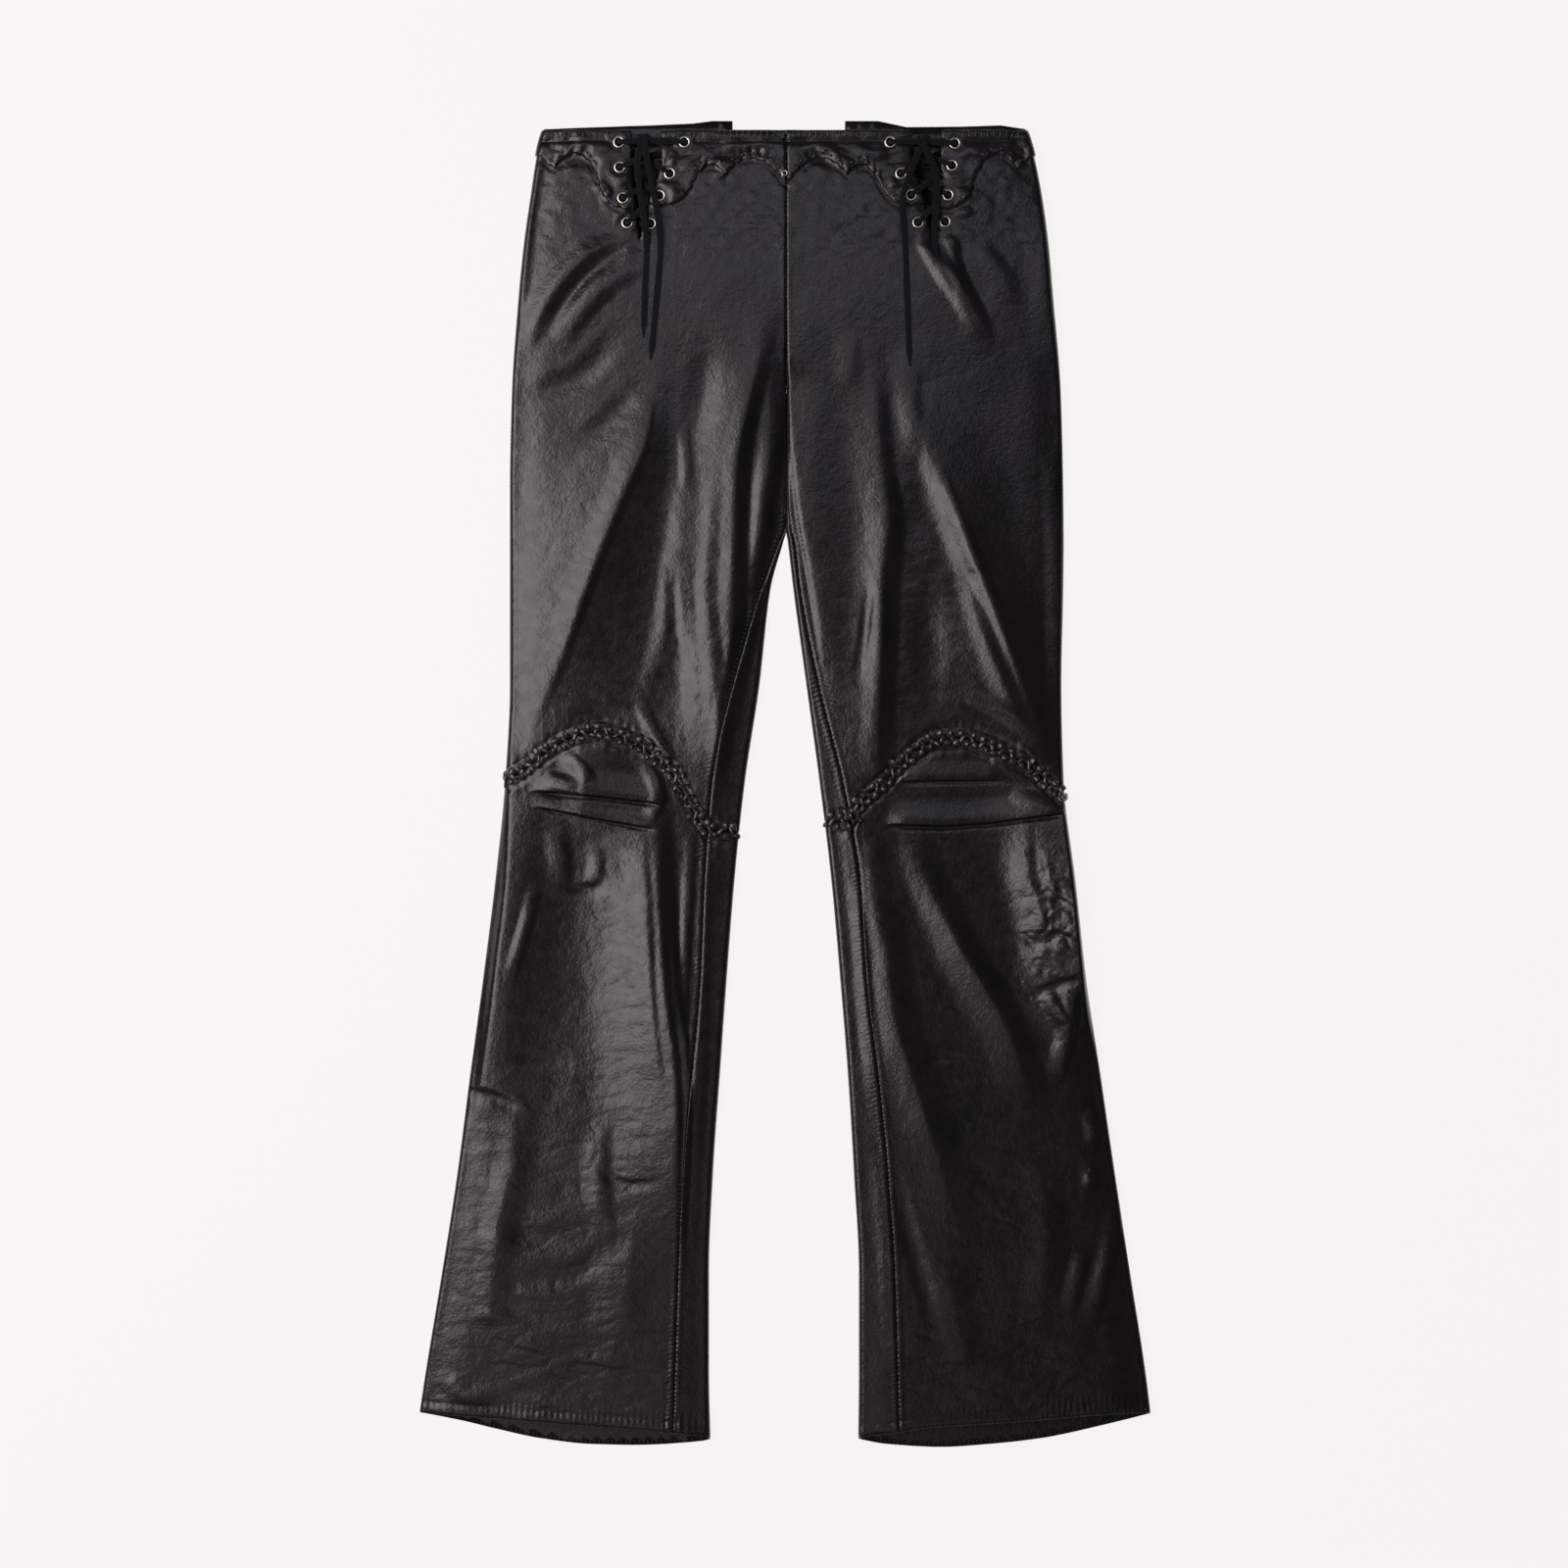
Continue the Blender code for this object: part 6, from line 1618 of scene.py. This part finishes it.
def eyelet_spots(leg, first_edge):
    """Eyelets from the bottom row up, on alternate edges of the V."""
    edges = (first_edge, "inner" if first_edge == "outer" else "outer")
    found = {(e.edge, e.row): np.array([e.out, e.y]) for e in EYELETS if e.leg == leg.name}
    return [found[edges[(4 - row) % 2], row] for row in (4, 3, 2, 1)]


def lace_route(leg, half):
    """One half of a lace: up through an eyelet, over the edge, down through the gap, and so on."""
    first_edge, other_edge = ("outer", "inner") if half == "first" else ("inner", "outer")
    spots, others = eyelet_spots(leg, first_edge), eyelet_spots(leg, other_edge)
    v_edges = {"outer": V_OUTER_EDGE, "inner": V_INNER_EDGE}
    bar_middle = (spots[0] + others[0]) / 2
    knot = np.array(KNOT_PLACES[leg.name])
    towards = (bar_middle - spots[0]) / np.linalg.norm(bar_middle - spots[0])
    route = [(*(bar_middle - towards * SEAM_GAP / 2), LACE_LOW)]
    near = LACE_BEND * (1 - math.sqrt(0.5))
    came = bar_middle
    for i, spot in enumerate(spots):
        last = i + 1 == len(spots)
        goes = knot if last else spots[i + 1]
        back = (came - spot) / np.linalg.norm(came - spot)
        ahead = (goes - spot) / np.linalg.norm(goes - spot)
        route += [(*(spot + back * LACE_BEND), LACE_LOW), (*(spot + back * near), LACE_LOW + near)]
        route += [(*spot, LACE_LOW + LACE_BEND), (*spot, LACE_HIGH - LACE_BEND)]
        route += [(*(spot + ahead * near), LACE_HIGH - near), (*(spot + ahead * LACE_BEND), LACE_HIGH)]
        came = spot
        if last:
            route.append((*(knot - ahead * (KNOT_RADII[0] - 1)), LACE_HIGH + 0.4))
            break
        own, far = (first_edge, other_edge) if i % 2 == 0 else (other_edge, first_edge)
        over = edge_crossing(leg, spot, goes, v_edges[own])
        under = edge_crossing(leg, spot, goes, v_edges[far])
        crossing = way_to_crossing(spot, goes, others[i], others[i + 1])
        meets = nearer_edge(leg, spot + (goes - spot) * crossing)
        passing = CROSSING_HIGH if meets == own else CROSSING_LOW
        for way, height in ((over, LACE_OVER_EDGE), (crossing, passing), (under, LACE_UNDER_EDGE)):
            route.append((*(spot + (goes - spot) * way), height))
    return [(leg.side * out, y, z) for out, y, z in route]


def add_lace_half(leg, half):
    """One half of a lace, narrow and thick where it passes through an eyelet."""
    route = smooth_path(lace_route(leg, half), 0.8)
    holes = np.array([(leg.side * e.out, e.y) for e in EYELETS if e.leg == leg.name])
    away = np.hypot(route[:, None, 0] - holes[:, 0], route[:, None, 1] - holes[:, 1]).min(axis=1)
    opened = smooth_step(away, *LACE_OPENS)
    narrow, full = LACE_IN_EYELET
    wides = narrow + (LACE_WIDE - narrow) * opened
    thicks = full + (LACE_THICK - full) * opened
    points, faces = swept(route, wides, thicks)
    name = f"lace_{leg.name}_{half}"
    finish_piece(f"suede_{name}", points, faces, ("suede",), [name])


def end_route(leg, points):
    """A free end from its knot, over the crossings and down on to the leather."""
    route = []
    for out, y, lift in points:
        z = LACE_OVER_CROSSINGS if lift is None else float(loft(leg, out, y, True)) + lift
        route.append((leg.side * out, y, z))
    return route


def add_lace_end(leg, number):
    """A free end of a lace, from its knot to its point."""
    route = smooth_path(end_route(leg, LACE_ENDS[leg.name, number]), 2.0)
    low = LACES_LIE_BELOW[leg.name, number]
    outs = leg.side * route[:, 0]
    resting = loft(leg, outs, route[:, 1], True) + LACE_THICK / 2 + 0.25
    lying = 1 - smooth_step(route[:, 1], low - 14, low)
    route[:, 2] = route[:, 2] * (1 - lying) + resting * lying
    run = run_along(route)
    taper = np.clip((run[-1] - run) / LACE_POINT, 0.16, 1) ** 0.7
    wave = 1 + 0.06 * np.sin(run / 9.0 + number)
    points, faces = swept(route, LACE_WIDE * 1.05 * taper * wave, LACE_THICK * np.clip(taper, 0.5, 1))
    name = f"lace_end_{leg.name}_{number}"
    piece = finish_piece(f"suede_{name}", points, faces, ("suede",), [name])


def add_knot(leg):
    """The laces' square knot: one flat loop wound three times through itself."""
    out, y = KNOT_PLACES[leg.name]
    t = np.linspace(0, 2 * math.pi, 97)[:-1]
    loop = np.stack([np.sin(t) + 2 * np.sin(2 * t), np.cos(t) - 2 * np.cos(2 * t), -np.sin(3 * t)], axis=1)
    route = loop * [KNOT_RADII[0] / 3.4, KNOT_RADII[1] / 3.2, 1.25]
    route += [leg.side * out, y, KNOT_HEIGHT - 0.6]
    ahead = np.roll(route, -1, axis=0) - np.roll(route, 1, axis=0)
    ahead /= np.linalg.norm(ahead, axis=1, keepdims=True)
    across = np.cross(ahead, [0, 0, 1.0])
    across /= np.linalg.norm(across, axis=1, keepdims=True)
    up = np.cross(across, ahead)
    section = lace_section(*KNOT_SECTION)
    points = [place + s * side + u * rise for place, side, rise in zip(route, across, up) for s, u in section]
    name = f"lace_knot_{leg.name}"
    faces = rings_joined(len(route), len(section), True)
    finish_piece(f"suede_{name}", points, faces, ("suede",), [name])


# ---------------------------------------------------------------- eyelets and rivet


def turned_ring(centre, profile, sides):
    """Points and faces of a ring turned about an upright axis from a closed profile of (radius, height)."""
    points = []
    for i in range(sides):
        angle = 2 * math.pi * i / sides
        points += [(centre[0] + r * math.cos(angle), centre[1] + r * math.sin(angle), z) for r, z in profile]
    return points, rings_joined(sides, len(profile), True)


def rolled_rim(inner, outer, base, height, steps=7):
    """The rounded top of a pressed ring, from its outer foot over to its inner one."""
    middle, half = (inner + outer) / 2, (outer - inner) / 2
    angles = [math.pi * i / (steps - 1) for i in range(steps)]
    return [(middle + half * math.cos(t), base + height * math.sin(t) ** 0.8) for t in angles]


def add_eyelet(leg, eyelet):
    """A rolled flange on top, a barrel through the leather and a washer below."""
    level = float(loft(leg, eyelet.out, eyelet.y))
    top = level + (SEAM_GAP + LEATHER if eyelet.banded else 0) + 0.1
    bottom = level - LEATHER - 0.1
    profile = [
        (BORE_R, bottom - WASHER_DEPTH), (WASHER_R - 0.4, bottom - WASHER_DEPTH),
        (WASHER_R, bottom - WASHER_DEPTH / 2), (WASHER_R - 0.2, bottom), (BARREL_R, bottom), (BARREL_R, top),
    ]
    profile += rolled_rim(BORE_R, FLANGE_R, top, FLANGE_HEIGHT)
    points, faces = turned_ring((leg.side * eyelet.out, eyelet.y), profile, 32)
    name = f"eyelet_{leg.name}_{eyelet.edge}_{eyelet.row}"
    finish_piece(f"nickel_{name}", points, faces, ("nickel",), [name])


def add_rivet():
    """A small tubular rivet ring on the centre front of the band."""
    base = HIP_LOFT + LEATHER + SEAM_GAP + 0.1
    profile = [(RIVET_BORE_R, base), (RIVET_R, base)]
    profile += rolled_rim(RIVET_BORE_R, RIVET_R, base + 0.2, RIVET_HEIGHT - 0.2)
    points, faces = turned_ring(RIVET_PLACE, profile, 28)
    finish_piece("nickel_front_rivet", points, faces, ("nickel",), ["front_rivet"])


# ---------------------------------------------------------------- stitching and thongs


def stitch_mesh(start, end, up, stitch):
    """Points and faces of one stitch, that rises between its two holes."""
    way = end - start
    along = way / np.linalg.norm(way)
    across = np.cross(along, up)
    points = []
    for share, rise, girth in STITCH_STATIONS:
        for i in range(STITCH_SIDES):
            t = 2 * math.pi * i / STITCH_SIDES
            lift = stitch.height * rise + 0.6 * stitch.radius * girth * math.sin(t)
            points.append(start + way * share + across * stitch.radius * girth * math.cos(t) + up * lift)
    return points, rings_joined(len(STITCH_STATIONS), STITCH_SIDES) + end_caps(len(points), STITCH_SIDES)


def joined(parts):
    """Several lists of points and faces as one."""
    points, faces = [], []
    for some_points, some_faces in parts:
        faces += [tuple(i + len(points) for i in face) for face in some_faces]
        points += list(some_points)
    return points, faces


def places_along(line, run, at):
    """The places on a chart line at distances along it."""
    return np.stack([np.interp(at, run, line[:, k]) for k in (0, 1)], axis=1)


def way_along(line, run, at):
    """The places on a chart line at distances along it, and the way the line goes there."""
    way = places_along(line, run, at + 0.5) - places_along(line, run, at - 0.5)
    return places_along(line, run, at), way / np.linalg.norm(way, axis=1, keepdims=True)


def stitched(place, leg, line, stitch):
    """Stitches of one kind along a chart line."""
    line = np.array(line)
    run = run_along(line)
    count = max(1, int(run[-1] / stitch.pitch))
    middle, way = way_along(line, run, (np.arange(count) + 0.5) * run[-1] / count)
    turn = stitch.tilt + stitch.jitter * np.random.default_rng(stitch.seed).uniform(-1, 1, count)
    c, s = np.cos(turn), np.sin(turn)
    turned = np.stack([way[:, 0] * c - way[:, 1] * s, way[:, 0] * s + way[:, 1] * c], axis=1)
    half = turned * stitch.length / 2
    starts, low, ends = (
        place(leg, p[:, 0], p[:, 1], stitch.lift) for p in (middle - half, middle, middle + half)
    )
    raised_by_one = place(leg, middle[:, 0], middle[:, 1], stitch.lift + 1.0)
    return [stitch_mesh(a, b, up, stitch) for a, b, up in zip(starts, ends, raised_by_one - low)]


def offset_line(line, distance):
    """A chart line moved to its left by a distance."""
    line = np.array(line, float)
    way = np.gradient(line, axis=0)
    way /= np.linalg.norm(way, axis=1, keepdims=True)
    return line + distance * np.stack([-way[:, 1], way[:, 0]], axis=1)


def add_stitching(leg):
    """Thread along the hems, the inseam and the centre front, and, on the left leg, a dark thread-coloured
    strip of painted shade under the gap between the legs above the crotch.
    """
    hem_out, _, hem_in, hem_in_y = line_ends(leg, leg.front_hem, front_inner)
    knee_y = seam_meets(leg, leg.knee, front_inner)[1]
    hems = (
        (front_at, leg.front_hem, hem_in, FRONT_HEM_RUN, FRONT_HEM_STITCH),
        (back_at, leg.back_hem, float(inner_edge(leg, HEM_LEVEL)), BACK_HEM_RUN, BACK_HEM_STITCH),
    )
    parts = []
    for place, hem, start, run, stitch in hems:
        line = [(a, y + run.up) for a, y in line_across(hem, start + run.start, hem_out - run.end)]
        parts += stitched(place, leg, line, stitch)
    for low, high in ((hem_in_y + OFF_HEM, knee_y - OFF_KNEE), (knee_y + OFF_KNEE, INSEAM_STITCH_TOP)):
        levels = np.arange(low, high, RUN_STEP)
        line = [(float(front_inner(leg, y)) + INSEAM_STITCH_OFF, y) for y in levels]
        parts += stitched(front_at, leg, line, INSEAM_STITCH)
    off_centre = centre_shift(leg) + SEAM_GAP / 2 + CENTRE_STITCH_OFF
    centre = [(off_centre, y) for y in np.arange(*CENTRE_STITCH_RUN, RUN_STEP)]
    parts += stitched(front_at, leg, centre, CENTRE_STITCH)
    # painted shade: a dark strip on the table under the gap between the legs' inner folds
    if leg.side < 0:
        shade_strip = [(CENTRE_X, y, SEAT_SHADE_STRIP_LOW) for y in np.linspace(*SEAT_SHADE_STRIP_RUN, 20)]
        parts.append(swept(shade_strip, [SEAT_SHADE_STRIP_WIDE] * len(shade_strip), [SEAT_SHADE_STRIP_THICK] * len(shade_strip)))
    points, faces = joined(parts)
    finish_piece(f"seam_stitching_{leg.name}", points, faces, ("thread",), [])


def clear_of_eyelets(leg, line, distance):
    """The stretches of a chart line that keep that far from every eyelet."""
    stretches = [[]]
    for place in line:
        if all(math.dist(place, (e.out, e.y)) > distance for e in EYELETS if e.leg == leg.name):
            stretches[-1].append(tuple(place))
        elif stretches[-1]:
            stretches.append([])
    return [stretch for stretch in stretches if len(stretch) > 3]


def add_band_thongs(leg):
    """Running thong stitches just inside the bands' top edge and scalloped edges."""
    shift = centre_shift(leg)
    parts = []
    fold = float(outer_edge(leg, FRONT_TOP - 2)) - TOP_THONG_END
    in_front = [out + shift for out in TOP_THONG_RUN]
    for start, end in (in_front, (TOP_THONG_RESTART + shift, fold)):
        top = [(a, FRONT_TOP - TOP_THONG_DOWN) for a in np.arange(start, end, RUN_STEP / 2)]
        for line in clear_of_eyelets(leg, top, TOP_THONG_CLEAR):
            parts += stitched(front_at, leg, line, TOP_THONG)
    for edge in (FRONT_BAND_EDGE, SIDE_BAND_EDGE):
        for here, after in zip(edge, edge[1:]):
            arc = [(a + shift, y) for a, y in curve_through(here.corner, here.middle, after.corner)[2:-1]]
            inset = offset_line(arc, SCALLOP_THONG_IN)
            inset = inset[(inset[:, 0] < leg.outer(inset[:, 1]) - 4)]
            for line in clear_of_eyelets(leg, inset, SCALLOP_THONG_CLEAR):
                parts += stitched(front_at, leg, line, SCALLOP_THONG)
    points, faces = joined(parts)
    finish_piece(f"band_thongs_{leg.name}", points, faces, ("thong",), [])


def laid(leg, chart, lift):
    """A place over the leather, kept between the two folds and flatter beside them."""
    low, high = inner_edge(leg, chart[:, 1]) + 0.2, outer_edge(leg, chart[:, 1]) - 0.2
    there = np.clip(chart[:, 0], low, high)
    flat = 0.45 + 0.55 * smooth_step(np.minimum(there - low, high - there), 0, 9)
    on_leather = front_at(leg, there, chart[:, 1], 0)
    return on_leather + (front_at(leg, there, chart[:, 1], 1.0) - on_leather) * (lift * flat)[:, None]


def strap_row(leg, line, at, row, straps):
    """One strap at each distance along the seam, from its outer hole to near the seam."""
    middle, ahead = way_along(line, run_along(line), at)
    aside = np.stack([-ahead[:, 1], ahead[:, 0]], axis=1)
    rails = []
    for share, rise in zip(STRAP_SHARES, STRAP_RISES):
        out = straps.reach * (1 - share) + straps.near * share
        chart = middle + aside * row * out[:, None] + ahead * (straps.slant * (share - 0.5))[:, None]
        way = laid(leg, chart, 0.3 + straps.high * rise)
        rails.append((way, laid(leg, chart, 1.3 + straps.high * rise) - way))
    made = []
    for i in range(len(at)):
        way, above = (np.array([rail[k][i] for rail in rails]) for k in (0, 1))
        ahead_of = np.gradient(way, axis=0)
        sideways = np.cross(ahead_of / np.linalg.norm(ahead_of, axis=1, keepdims=True), above)
        leaning = above + sideways * math.tan(straps.lean[i]) * (1 if sideways[2, 0] > 0 else -1)
        made.append(swept(way, straps.wide[i] * STRAP_GIRTHS, straps.thick * STRAP_GIRTHS, leaning))
    return made


def add_knee_lacing(leg):
    """The laced knee seam: each panel's edge is bound with its own row of thong loops."""
    out_end = float(seam_meets(leg, leg.knee, outer_edge)[0]) - 0.8
    in_end = float(seam_meets(leg, leg.knee, inner_edge)[0]) + 0.8
    a = np.linspace(in_end, out_end, 1200)
    line = np.stack([a, leg.knee(a)], axis=1)
    length = run_along(line)[-1]
    rng = np.random.default_rng(KNEE_SEEDS[leg.name])
    count = int(length / LOOP_PITCH)
    steady, varied = LOOP_ROLL

    def drawn(middle, reach):
        """A random amount for each loop, so much to both sides of its middle."""
        return middle + reach * rng.uniform(-1, 1, count)

    parts = []
    for row, size in LOOP_ROWS:
        evenly = (np.arange(count) + 0.5 + LOOP_STAGGER * row) * length / count
        at = np.clip(drawn(evenly, LOOP_DRIFT), LACING_ENDS, length - LACING_ENDS)
        cluster = size * drawn(1 + 0.18 * np.sin(at / 6.1 + 1.3 * row), 0.14)
        slant = drawn(0, LOOP_SLANT)
        high = LOOP_HIGH * drawn(0.95, LOOP_VARIES)
        wide = LOOP_WIDE * drawn(1.0, LOOP_VARIES)
        loops = Straps(LOOP_REACH * cluster, LOOP_SLOT, slant, high, wide, LOOP_THICK, drawn(steady, varied))
        parts += strap_row(leg, line, at, row, loops)
    at = np.clip((np.arange(count) + 0.9) * length / count, LACING_ENDS, length - LACING_ENDS)
    slant = drawn(np.take(STRAND_SLANTS, np.arange(count) % 2), 1)
    wide = STRAND_WIDE * drawn(1.0, LOOP_VARIES)
    reach, high = np.full(count, STRAND_REACH), np.full(count, STRAND_HIGH)
    strands = Straps(reach, STRAND_NEAR, slant, high, wide, STRAND_THICK, drawn(steady, varied))
    parts += strap_row(leg, line, at, 1, strands)
    points, faces = joined(parts)
    name = f"knee_lacing_{leg.name}"
    finish_piece(f"thong_{name}", points, faces, ("thong",), [name])


# ---------------------------------------------------------------- the whole garment


def build_leg(leg):
    """All the pieces of one leg and its half of the hips."""
    for number in (1, 2):
        add_lace_end(leg, number)
    panels = {kind: add_panel(leg) for kind, add_panel in PANELS.items()}
    for half in ("first", "second"):
        add_lace_half(leg, half)
    add_knot(leg)
    for eyelet in EYELETS:
        if eyelet.leg == leg.name:
            add_eyelet(leg, eyelet)
    add_stitching(leg)
    add_band_thongs(leg)
    add_knee_lacing(leg)


PANELS = {
    "front_thigh": add_front_thigh,
    "front_shin": add_front_shin,
    "back_thigh": add_back_thigh,
    "back_calf": add_back_calf,
    "back_waistband": add_back_waistband,
    "front_waistband": add_front_waistband,
    "side_waistband": add_side_waistband,
}

set_camera()
set_lights()
add_table()
legs = (make_leg("left", -1), make_leg("right", 1))
for made_leg in legs:
    build_leg(made_leg)
add_rivet()
